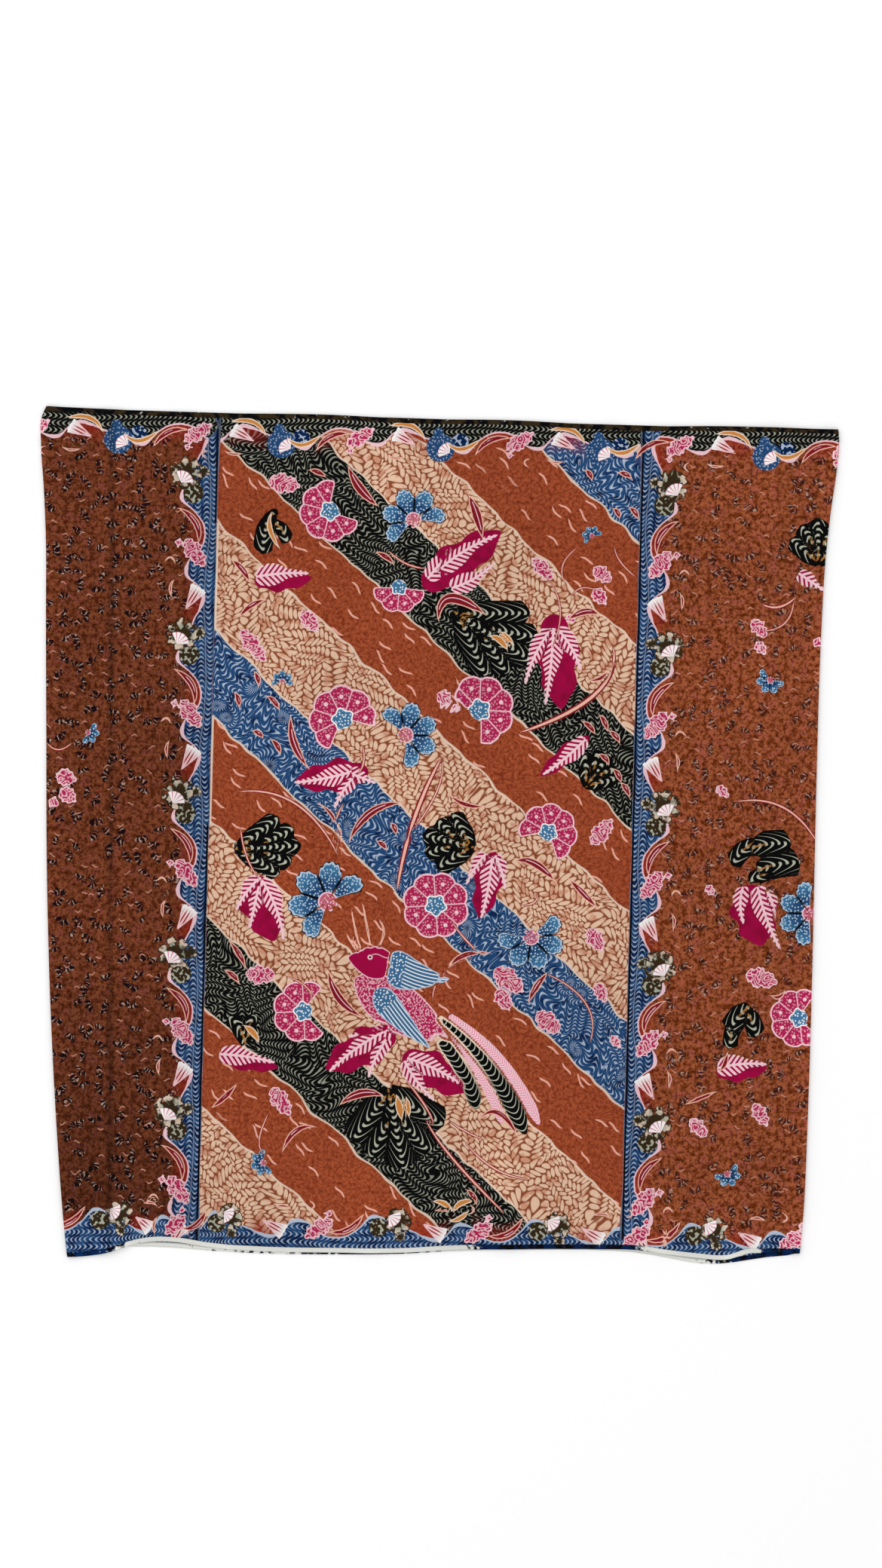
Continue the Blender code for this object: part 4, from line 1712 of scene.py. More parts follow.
    def sprays(self, along: Term, across: Term, may_ring: Term) -> tuple[Term, Term]:
        """Turns the coordinates patch by patch, so that rows run as sprays at many angles.

        In some patches the rows are rings round the patch's centre instead. Along a ring the
        place is the bearing times the radius at which a whole number of arcs goes round.

        Args:
            along: place along the band.
            across: place across it.
            may_ring: 1 where a patch may have rings.

        Returns:
            The place along and across each patch's own direction.
        """
        cells = self.cells(self.join(along, across), self.hand.spray_size)
        from_x = along - cells.centre[0]
        from_y = across - cells.centre[1]
        row_along, row_across = self.turned(from_x, from_y, cells.chance[0] * 2.6 - 1.3)
        ringed = cells.chance[1].above(0.6, 0.02) * may_ring
        radius = self.hand.rings_arcs * self.hand.crescent_pitch / FULL_TURN
        ring_along = self.angle(from_x, from_y) * radius - row_along
        ring_across = self.hypot(from_x, from_y) - row_across
        return ringed.times_plus(ring_along, row_along), ringed.times_plus(ring_across, row_across)

    def paint_field(self) -> None:
        """The brown field: mottled russet, dark stipple, small dark fans, pale dashes.

        It is darker left of the head panel and darkest at its foot, partly a deeper dye and partly painted
        shade.
        It comes back to the right side's level behind the left fold, where it meets the back.
        """
        mottle = self.noise(self.place, self.hand.field_mottle, 2)
        self.colour = self.mix(mottle.above(0.46, 0.3), Dye.UMBER, Dye.RUSSET)
        self.lay(Dye.BRICK, self.blotch.above(0.6, 0.14) * 0.5)
        self.lay(Dye.STIPPLE, self.grain.above(0.58, 0.08) * 0.6)
        dark, pale = self.fans()
        on_right = self.x.above(0.0, FIELD_SPLIT)
        self.lay(Dye.SOOT, dark * on_right.times_plus(-0.2, 1.0))
        # Painted shade, partly deeper dye: darker left of the head panel, darkest at its foot.
        left_dye_and_shade = self.y.below(-330.0, 360.0).times_plus(-0.26, 0.58)
        usual = on_right.most(self.x.below(BACK_BEGINS, 50.0))
        self.shade(usual * (1.0 - left_dye_and_shade) + left_dye_and_shade)
        self.lay(Dye.ASH, pale * 0.85)
        self.lay(Dye.LIGHT_RUSSET, self.dashes(self.x, self.y, FIELD_DASHES) * 0.8)

    def paint_bands(self) -> None:
        """The head panel's slanting bands: blue, brown, tan and dark, each with its filling.

        Bands repeat in the order blue, brown, tan, dark, brown, tan. So the band's number over
        three leaves 0 for the ones filled with crescents, 1 for brown ones and 2 for tan ones.
        """
        hand = self.hand
        run = math.hypot(1.0, BAND_SLOPE)
        warped_x = self.x + self.flow_x
        warped_y = self.y + self.flow_y
        curls = self.noise(self.place, hand.curl_size, 0.0)
        band = (curls - 0.5).times_plus(0.10, self.number_attribute("band"))
        third = self.maths("MODULO", band.floor(), 3.0)
        dark = self.maths("MODULO", band.floor(), 6.0).equals(3.0)
        mottle = self.noise(self.place, hand.band_mottle, 2)
        self.colour = self.mix(mottle.above(0.42, 0.4), Dye.BROWN_DEEP, Dye.BROWN)
        self.lay(Dye.BROWN_CURL, (curls * 9.0).stripes(0.10, 0.1) * 0.5)
        self.lay(Dye.STIPPLE, self.grain.above(0.64, 0.06) * 0.35)
        level = (self.x - self.y * BAND_SLOPE) / run
        height = (self.x * BAND_SLOPE + self.y) / run
        self.lay(Dye.LIGHT_PEACH, self.dashes(level, height, BAND_DASHES))
        along = (warped_x - warped_y * BAND_SLOPE) / run
        across = (warped_x * BAND_SLOPE + warped_y) / run
        along, across = self.sprays(along, across, third.equals(0.0) * (1.0 - dark))
        oval = self.mix(self.blotch.above(0.58, 0.15), Dye.TAN, Dye.TAN_SHADE)
        self.lay(self.mix(self.leaflets(along, across), Dye.TAN_GAP, oval), third.equals(2.0))
        arcs = self.crescents(along, across, hand.crescent_row, hand.crescent_pitch)
        blue = self.mix(self.blotch.above(0.62, 0.14), Dye.NAVY, Dye.NAVY_DEEP)
        ground = self.mix(dark, blue, Dye.BLACK_GREEN)
        line = self.mix(dark, Dye.ICE, Dye.SAGE)
        strength = self.blotch.below(0.62, 0.2).times_plus(0.38, 0.48) * dark.times_plus(-0.26, 1.0)
        self.lay(self.mix(arcs * strength, ground, line), third.equals(0.0))
        left = (self.x - HEAD_LEFT_MM).near(2.0, 1.4, 0.7) * self.pale_stretch
        self.lay(Dye.CREAM, left * (1.0 - third.equals(0.0)) * 0.9)
        self.lay(Dye.CREAM, (band + 0.5).stripes(0.014, 0.009) * 0.8)

    def paint_trims(self) -> None:
        """The border strips: crescents beside a vein, a pale wave line, a dark inner line.

        The wave line is broader round the ball and at the hook.
        """
        hand = self.hand
        out = self.trim_out
        side = self.trim_kind.equals(Trim.SIDE.value)
        edge = self.wander.times_plus(hand.wander, self.trim_edge)
        inside = edge.below(0.0, hand.soft)
        phase = (self.trim_along / PITCH).fraction()
        redder = phase.near(0.36, 0.12, 0.1) + phase.near(0.78, 0.09, 0.1)
        self.lay(Dye.RED, redder * edge.below(13.0, 22.0) * edge.above(0.0, 1.0) * 0.7)
        wave = (self.trim_along * (FULL_TURN / PITCH)).sine()
        level = wave.times_plus(2.5, out) + self.flow_x * 0.1
        along = self.trim_along + self.flow_y * 0.4
        arcs = self.crescents(along, level, hand.border_row, hand.border_pitch)
        ground = self.mix(self.blotch.above(0.5, 0.16), Dye.NAVY, Dye.NAVY_DEEP)
        ground = self.mix(self.at_waist, ground, Dye.BLACK_GREEN)
        line = self.mix(self.at_waist, Dye.ICE, Dye.SAGE)
        self.lay(self.mix(arcs * 0.7, ground, line), inside)
        self.lay(Dye.ICE, level.near(hand.border_row, 0.6, 0.6) * inside * side * 0.38)
        broad = phase.near(0.13, 0.06, 0.06) + phase.near(0.6, 0.05, 0.05) + phase.near(0.77, 0.05, 0.05)
        wave_dye = self.mix(self.trim_kind.equals(Trim.BOTTOM.value), Dye.PALE_ROSE, Dye.ICE)
        self.lay(wave_dye, (edge.size() - broad.times_plus(1.4, 1.0)).below(0.0, 0.7) * 0.9)
        inner = out.near(1.2, 1.2, 0.8) * inside * side
        self.lay(Dye.INK, inner * (1.0 - self.x.below(0.0, 1.0) * self.pale_stretch))

    def paint_under(self) -> None:
        """The lowest layer: crimson leaves, dark leaves, border wedges and balls."""
        at = self.under
        soft = self.hand.soft
        inside = at.edge.below(0.0, soft)
        crimson = self.mix(self.blotch.above(0.56, 0.3) * 0.5, Dye.CRIMSON, Dye.CRIMSON_DEEP)
        self.lay(crimson, inside * at.of(Style.CRIMSON_LEAF))
        lobe = at.of(Style.DARK_LEAF)
        self.lay(Dye.BLACK_GREEN, at.edge.below(1.5, soft) * lobe)
        striped = (at.along + self.flow_x * 0.3) / LEAF.lobe_stripe
        curved = (at.across * at.across).times_plus(LEAF.lobe_bend, striped)
        one_side = (at.across * curved.floor().flip()).above(-2.0, 1.5)
        thickness = at.across.size().times_plus(-0.014, 0.22)
        arcs = ((curved.fraction() - 0.5).size() - thickness).below(0.0, 0.08) * one_side
        self.lay(Dye.SAGE, arcs * at.edge.below(-0.6, soft) * lobe)
        rib = at.across.size().below(LEAF.lobe_rib, 0.5) * at.along.below(LEAF.lobe_foot, 12.0)
        self.lay(Dye.OCHRE, rib * inside * lobe * 0.85)
        wedge = at.of(Style.WEDGE)
        self.lay(self.mix(at.along.above(7.0, 14.0), Dye.WHITE, Dye.SHELL), inside * wedge)
        grooves = (at.across / LEAF.wedge_groove).stripes(0.2, 0.1) * at.along.above(5.0, 8.0)
        self.lay(Dye.RED, grooves * at.across.size().below(6.0, 2.0) * at.edge.below(-1.8, soft) * wedge)
        ball = at.of(Style.BALL)
        self.lay(self.mix(self.at_waist, Dye.OLIVE, Dye.NAVY_DEEP), inside * ball)
        specks = self.noise(self.place, self.hand.speck_size, 0.0).above(0.6, 0.06)
        self.lay(self.mix(self.at_waist, Dye.SAGE, Dye.ICE), specks * inside * ball * 0.8)

    def paint_over(self) -> None:
        """The middle layer: roses, blue flowers, blossoms, fronds and the borders' flowers."""
        at = self.over
        soft = self.hand.soft
        self.paint_rose()
        self.paint_blue_flower()
        blossom = at.of(Style.BLOSSOM)
        scalloped = (at.along * LEAF.blossom_ripple).sine().times_plus(1.0, at.edge)
        self.lay(Dye.MAGENTA, scalloped.below(0.0, soft) * blossom)
        veins = (self.noise(self.place, self.hand.vein_size, 0.0) * 5.0).stripes(0.2, 0.12)
        clumps = veins.most(self.grain.above(0.62, 0.08))
        self.lay(Dye.SHELL, clumps * scalloped.below(-0.6, soft) * blossom * 0.85)
        self.lay(Dye.PALE_ROSE, scalloped.near(-0.8, 0.9, 0.6) * blossom)
        frond = at.of(Style.FROND)
        slanted = at.along - at.across.size() * LEAF.frond_slant
        ribs = (slanted / LEAF.frond_stripe).fraction() - 0.5
        barb = (ribs.size() - at.across.size() * 0.004).below(0.25, 0.1)
        reach = (1.0 - barb).times_plus(LEAF.frond_notch, at.edge).below(0.0, soft)
        rib = at.across.size().below(LEAF.midrib, 0.5) * at.edge.below(0.0, soft)
        self.lay(Dye.CRIMSON, at.edge.below(-LEAF.frond_rim, soft) * frond)
        self.lay(Dye.PALE_ROSE, (barb * reach).most(rib) * frond)
        self.paint_curl()

    def petals(self, style: Style) -> tuple[Term, Term]:
        """Where in its petal a point is, from -0.5 to 0.5, and how far off the petal's middle."""
        turn = (self.bearing * (PETALS[style] / FULL_TURN)).fraction() - 0.5
        return turn, turn.size()

    def paint_rose(self) -> None:
        """A rose: scalloped petals with dots, parted by pale lines, round a blue heart."""
        rose = self.over.of(Style.ROSE)
        turn, off = self.petals(Style.ROSE)
        scallop = (off * off).times_plus(ROSE.notch, self.over.edge)
        inside = scallop.below(0.0, 1.0) * rose
        self.lay(Dye.MAGENTA, inside)
        self.lay(Dye.SHELL, self.dots * inside * 0.62)
        petal_arc = FULL_TURN / PETALS[Style.ROSE] * ROSE.spot_ring
        spot = self.hypot(self.out - ROSE.spot_ring, turn * petal_arc)
        self.lay(Dye.PALE_ROSE, spot.below(ROSE.spot, 1.0) * inside)
        self.lay(Dye.PALE_ROSE, ((0.5 - off) * self.out).below(ROSE.divider, 0.7) * inside * 0.85)
        self.lay(Dye.PALE_ROSE, scallop.near(-ROSE.rim, 1.0, 0.7) * rose)
        star = (self.bearing * ROSE.star_points).sine().times_plus(ROSE.star_depth, self.out)
        heart = rose * self.over.edge.below(0.0, 1.0)
        self.lay(Dye.WHITE, star.below(ROSE.heart_edge, 0.8) * heart)
        self.lay(Dye.SKY, star.below(ROSE.heart, 0.8) * heart)
        self.lay(Dye.WHITE, self.dots * star.below(ROSE.heart_dots, 0.8) * heart)

    def paint_blue_flower(self) -> None:
        """A blue flower: round petals outlined in black, pale rims, a red dotted heart."""
        flower = self.over.of(Style.BLUE_FLOWER)
        _, off = self.petals(Style.BLUE_FLOWER)
        sizes = BLUE_FLOWER
        frilled = (self.bearing * sizes.frills).sine().times_plus(sizes.frill_depth, self.over.edge)
        rounded = (off * off).times_plus(sizes.notch, frilled)
        halo = rounded.below(sizes.halo, 0.8) * self.over.edge.below(0.0, 0.8) * flower
        inside = rounded.below(-0.6, 0.9) * flower
        self.lay(Dye.INK, halo)
        self.lay(self.mix(self.out.above(sizes.light_ring, 14.0), Dye.NAVY, Dye.SKY), inside)
        self.lay(Dye.PALE_SKY, self.dots * inside * 0.95)
        self.lay(Dye.ICE, rounded.near(-sizes.rim, 1.0, 0.8) * flower)
        self.lay(Dye.INK, ((0.5 - off) * self.out).below(sizes.divider, 0.8) * inside)
        self.lay(Dye.PALE_ROSE, self.out.below(sizes.heart_edge, 0.8) * halo)
        self.lay(Dye.MAGENTA, self.out.below(sizes.heart, 0.8) * halo * 0.85)
        self.lay(Dye.PALE_ROSE, self.dots * self.out.below(sizes.heart_dots, 1.0) * halo)

    def paint_curl(self) -> None:
        """A border's curled flower: pale ragged lumps in a dark ring, and a rayed fan.

        At the top border the ring is blue with pale dots instead. The fan's rays spread from a
        foot near the flower's centre, and are read in the border's own frame.
        """
        out = self.out
        lump_turn = FULL_TURN / CURL.lumps
        curl = self.over.of(Style.CURL) * self.over.edge.below(-0.5, 1.0)
        low = 1.0 - self.at_waist
        off = (self.bearing * (1 / lump_turn)).fraction() - 0.5
        side = off * (lump_turn * CURL.lump_arc)
        lump = self.hypot((out - CURL.lump_ring) / CURL.lump, side / CURL.lump) + self.wander * 2.6
        blue = out.below(CURL.ring, 2.0) * curl
        dark = lump.below(1.35, 0.2).most(out.below(CURL.heart, 3.0))
        self.lay(Dye.OLIVE, dark * curl * low)
        self.lay(Dye.NAVY, blue * self.at_waist)
        self.lay(Dye.ICE, self.dots * out.above(CURL.dots_from, 4.0) * blue * self.at_waist * 0.7)
        ragged = lump.below(0.85, 0.3) * self.blotch.above(0.42, 0.14) * curl * low
        self.lay(self.mix(out.above(CURL.lump_ring, 8.0), Dye.SAGE, Dye.CREAM), ragged * 0.8)
        from_flower = (self.trim_along / PITCH + 0.5).fraction() - 0.5
        ahead = from_flower * (-PITCH) - FAN_FOOT[0]
        beside = self.trim_out - FAN_FOOT[1]
        forward = ahead * FAN_COSINE - beside * FAN_SINE
        ray = self.angle(forward, beside * FAN_COSINE + ahead * FAN_SINE)
        spread = ray.size().below(CURL.fan_spread, 0.15)
        fan = self.hypot(ahead, beside).below(CURL.fan, 1.2) * spread * curl
        self.lay(Dye.ROSE, fan)
        self.lay(Dye.WHITE, fan * (ray * CURL.rays + 0.5).stripes(0.36, 0.1))

    def paint_bird_body(self) -> None:
        """The bird's dotted breast, its two dark tail feathers and its two hatched plumes."""
        at = self.over
        inside = at.edge.below(0.0, self.hand.soft)
        rim = at.edge.near(-0.9, 0.9, 0.6)
        breast = at.of(Style.BREAST)
        self.lay(Dye.MAGENTA, inside * breast)
        self.lay(Dye.PALE_ROSE, self.dots * inside * breast * 0.8)
        scrolls = (self.noise(self.place, self.hand.scroll_size, 0.0) * 5.0).stripes(0.1, 0.08)
        self.lay(Dye.SHELL, scrolls * inside * breast * 0.7)
        self.lay(Dye.PALE_ROSE, rim * breast * 0.8)
        tail = at.of(Style.TAIL)
        self.lay(Dye.BLACK_GREEN, inside * tail)
        bars = (at.across * at.across).times_plus(BIRD.tail_bend, at.along / BIRD.tail_stripe)
        self.lay(Dye.SAGE, bars.stripes(0.09, 0.07) * inside * tail)
        self.lay(Dye.CREAM, rim * tail * at.along.below(90.0, 60.0))
        plume = at.of(Style.PLUME)
        self.lay(Dye.PALE_ROSE, inside * plume)
        hatch = at.across.size().times_plus(BIRD.plume_bend, at.along / BIRD.plume_stripe)
        self.lay(Dye.ROSE, hatch.stripes(0.16, 0.1) * inside * plume)

    def paint_top(self) -> None:
        """The highest layer: strokes, buds and stalks, each pale outside and coloured within."""
        at = self.top
        off = at.across.size() + at.edge
        stem = at.of(Style.STEM)
        self.lay(Dye.STALK_LIGHT, off.below(0.3, 0.7) * stem)
        self.lay(Dye.STALK, off.below(-0.9, 0.7) * stem)
        light = (at.across - 0.6).size().below(0.5, 0.5) * off.below(-1.6, 0.6)
        self.lay(Dye.PALE_ROSE, light * at.edge.below(-3.4, 0.4) * stem)
        stalk = at.of(Style.STALK)
        self.lay(Dye.STALK, off.below(0.3, 0.7) * stalk)
        core = at.edge.times_plus(0.5, at.across.size())
        self.lay(Dye.STALK_LIGHT, core.below(0.0, 0.6) * stalk)
        stroke = at.of(Style.AMBER)
        self.lay(Dye.CREAM, off.below(0.3, 0.7) * stroke)
        self.lay(Dye.AMBER, off.below(-1.0, 0.7) * stroke)

    def paint_wings_and_head(self) -> None:
        """Wings dotted at the shoulder and striped beyond it, and a crimson head with an eye."""
        at = self.top
        inside = at.edge.below(0.0, self.hand.soft)
        wing = at.of(Style.WING)
        self.lay(Dye.NAVY, inside * wing)
        beyond = at.along.above(BIRD.shoulder, 2.0)
        stripes = (at.across / BIRD.wing_stripe + at.along * 0.02).stripes(0.16, 0.1)
        self.lay(Dye.SKY, inside * wing * 0.7)
        self.lay(Dye.WHITE, stripes * beyond * inside * wing * 0.9)
        self.lay(Dye.WHITE, self.dots * (1.0 - beyond) * inside * wing)
        self.lay(Dye.ICE, at.edge.near(-0.5, 0.7, 0.6) * wing)
        head = at.of(Style.BIRD_HEAD) * inside
        self.lay(Dye.CRIMSON, head)
        eye = self.hypot(self.x - EYE[0], self.y - EYE[1])
        self.lay(Dye.SHELL, eye.below(BIRD.eye_ring, 0.8) * head)
        self.lay(Dye.INK, eye.below(BIRD.eye, 0.8) * head)
        wave = (self.x * BIRD.brow_waves).sine()
        brow = wave.times_plus(BIRD.brow_height, self.y - BROW[1])
        line = brow.near(0.0, 0.6, 0.6) * self.x.near(BROW[0], BIRD.brow_half, 1.0)
        self.lay(Dye.PALE_ROSE, line * head * 0.7)
        self.lay(Dye.PALE_ROSE, at.edge.near(-0.4, 0.7, 0.6) * head)


@dataclass(frozen=True)
class CottonSurface:
    """The woven cotton under any dye: its threads, slubs, wear, painted crease highlights and seam shade,
    roughness and faint sheen.
    """

    thread_pitch: float = 0.8
    thread_height: float = 0.05
    bump_strength: float = 0.35
    slub_width: float = 1.6
    slub_length: float = 160.0
    slub_share: float = 0.10
    cloud_size: float = 150.0
    cloud_share: float = 0.25
    # Painted highlight on crease ridges, fading of folds and hems, painted shade along the seam's ridge.
    crease_highlight_share: float = 0.10
    fold_fade: float = 0.14
    seam_shade_depth: float = 0.46
    roughness: float = 0.86
    specular: float = 0.05
    sheen: float = 0.02
    sheen_roughness: float = 0.6

    def finish(self, recipe: Recipe, place: Socket, colour: Socket) -> None:
        """Puts the weave under a colour and links the surface up.

        The thread height is the product of two sines at the thread pitch, and slow streaks
        along both thread ways lighten and darken the colour. Crease ridges get a painted
        highlight, folds and hems have faded, and painted shade darkens the line of the seam's ridge.

        Args:
            recipe: the material being built.
            place: the cloth's own coordinates, in mm.
            colour: what is painted on it.
        """
        x, y, _ = recipe.parts(place)
        thin = self.slub_width
        long = self.slub_length
        warp = recipe.noise(recipe.join(x / thin, y / long), 1.0) - 0.5
        weft = recipe.noise(recipe.join(x / long, y / thin), 1.0) - 0.5
        cloud = recipe.noise(place, self.cloud_size, 2) - 0.5
        streaks = (warp + weft) * self.slub_share + cloud * self.cloud_share
        crease, fold, seam_shade = recipe.parts(recipe.vector_attribute("wear_and_painted_light"))
        # Painted highlight on crease ridges, real wear at folds and hems, painted shade along the seam's
        # ridge.
        painted_light_and_wear = crease.times_plus(self.crease_highlight_share, fold * self.fold_fade) - seam_shade * self.seam_shade_depth
        turns = FULL_TURN / self.thread_pitch
        height = ((x * turns).sine() * (y * turns).sine()).times_plus(0.5, warp + weft)
        bump = recipe.node("Bump", {
            "Strength": self.bump_strength, "Distance": self.thread_height * MM, "Height": height,
        })  # fmt: skip
        recipe.surface({
            "Base Color": recipe.shaded(recipe.mix(0.0, colour, colour), streaks + painted_light_and_wear + 1.0),
            "Roughness": (warp + weft).times_plus(0.08, self.roughness),
            "Normal": bump.outputs["Normal"],
            "Specular IOR Level": self.specular,
            "Sheen Weight": self.sheen,
            "Sheen Roughness": self.sheen_roughness,
        })  # fmt: skip


@dataclass(frozen=True)
class BatikFinish:
    """The dyed cloth of one strip: the head panel's bands and bird, or the brown field."""

    name: str
    is_head: bool
    hand: WaxResist = WaxResist()
    surface: CottonSurface = CottonSurface()

    def build(self) -> bpy.types.Material:
        """Paints ground, borders and motifs, then weaves the surface under them.

        The border strip left of the head panel is a little darker: partly a deeper dye, partly painted
        shade.

        Returns:
            The material.
        """
        pattern = Pattern(self.name, self.hand)
        if self.is_head:
            pattern.paint_bands()
        else:
            pattern.paint_field()
        pattern.paint_trims()
        pattern.paint_under()
        pattern.paint_over()
        if self.is_head:
            pattern.paint_bird_body()
        pattern.paint_top()
        if self.is_head:
            pattern.paint_wings_and_head()
        # Painted shade, partly deeper dye: the border strip left of the head panel a tenth darker.
        left_strip_dye_and_shade = pattern.x.near(HEAD_LEFT_MM - 20.0, 22.0, 12.0)
        pattern.shade(left_strip_dye_and_shade.times_plus(-0.1, 1.0))
        self.surface.finish(pattern, pattern.place, pattern.colour)
        return pattern.material


@dataclass(frozen=True)
class SelvageFinish:
    """The woven edge: undyed where the dye stopped short, and dyed elsewhere."""

    name: str
    surface: CottonSurface = CottonSurface(thread_pitch=0.7, slub_share=0.08)

    def build(self) -> bpy.types.Material:
        """Mixes undyed cotton and the border's dye by the attribute "undyed".

        Returns:
            The material.
        """
        recipe = Recipe(self.name)
        place = recipe.vector_attribute("cloth_mm")
        ragged = recipe.noise(place, 7, 2) - 0.5
        bare = ragged.times_plus(1.2, recipe.number_attribute("undyed")).above(0.5, 0.2)
        waist = recipe.parts(place)[1].above(0.0, 1.0)
        tone = recipe.mix(waist, Dye.NAVY_DEEP, Dye.OLIVE)
        dyed = recipe.mix(recipe.noise(place, 12, 2).above(0.5, 0.15), tone, Dye.INK)
        self.surface.finish(recipe, place, recipe.mix(bare, dyed, Dye.UNDYED))
        return recipe.material


@dataclass(frozen=True)
class SeamFinish:
    """The seam's overlap inside the tube: dark cloth between two rows of stitches."""

    name: str
    stitch_pitch: float = 2.6
    row_inset: float = 4.6
    slant: float = -25.0 / 1060.0
    middle_x: float = -405.0
    surface: CottonSurface = CottonSurface()

    def build(self) -> bpy.types.Material:
        """Draws two rows of pale stitches on dyed cotton, from the object's own coordinates.

        Returns:
            The material.
        """
        recipe = Recipe(self.name)
        own = recipe.node("TexCoord", {}).outputs["Object"]
        place = recipe.node("VectorMath", {0: own, "Scale": 1 / MM}, operation="SCALE").outputs[0]
        x, y, _ = recipe.parts(place)
        middle = y * self.slant + x - self.middle_x
        stitches = (y / self.stitch_pitch).stripes(0.3, 0.1)
        row = middle.size().near(self.row_inset, 0.35, 0.2)
        ground = recipe.mix(recipe.noise(place, 9, 2).above(0.5, 0.2), Dye.UMBER, Dye.RUSSET)
        self.surface.finish(recipe, place, recipe.mix(stitches * row, ground, Dye.CREAM))
        return recipe.material


# ---------------------------------------------------------------------------------------------
# Strips: the cloth's shell, stretch by stretch
# ---------------------------------------------------------------------------------------------


FACES_UP = 0.5  # the share of a normal that points up where a point counts as on the front
# Which part of the chart each face fills: its first and last column, and both faces' rows.
OUTER_CHART = (0.01, 0.80)
INNER_CHART = (0.82, 0.97)
CHART_ROWS = (0.02, 0.98)


@dataclass(frozen=True)
class ShellGrid:
    """A strip's points on both faces of the cloth, as arrays of rows by columns by three."""

    outer: Grid
    inner: Grid
    around: Grid
    up: Grid
    relief: Grid


class BuiltStrip(NamedTuple):
    """A strip's object, and its cut's length round the tube and up the cloth, in metres."""

    piece: bpy.types.Object
    width: float
    length: float


@dataclass(frozen=True)
class WearAndPaintedLight:
    """Wear at folds and hems, painted highlights on creases, painted shade at the seam: each mark's reach,
    in mm.
    """

    fold_reach: float = 5.0
    hem_reach: float = 6.0
    hem_share: float = 0.5
    seam_shade_reach: float = 4.6
    full_crease: float = 2.0

    def read(self, form: ClothForm, x: Grid, up: Grid, relief: Grid) -> Grid:
        """Marks that fade out exponentially from the folds, the hems and the seam's ridge, where shade is
        painted.

        Args:
            form: the cloth's shape.
            x: plan X of the points, in metres.
            up: plan Y of the points, in mm.
            relief: how far each point of the front is lifted, in mm.

        Returns:
            The vector (painted highlight on creases, wear at a fold or hem, painted shade along the seam).
        """
        left = np.abs(x - form.fold_centre(Side.LEFT, up * MM)) / MM
        right = np.abs(form.fold_centre(Side.RIGHT, up * MM) - x) / MM
        fold = np.exp(-np.minimum(left, right) / self.fold_reach)
        off_hem = np.minimum(up - form.bottom_y / MM, form.waist_y / MM - up)
        hem = np.exp(-off_hem / self.hem_reach) * self.hem_share
        # Painted highlight: lighter the higher a crease lifts the front.
        crease = np.clip(relief / self.full_crease, 0, 1) * (1 - fold)
        # Painted shade along the ridge that the seam presses up in the front.
        off_seam = (x - form.seam_x(up * MM)) / MM
        seam_shade = np.exp(-((off_seam / self.seam_shade_reach) ** 2)) * (relief > 0)
        return np.stack([crease, np.maximum(fold, hem), seam_shade], axis=1)


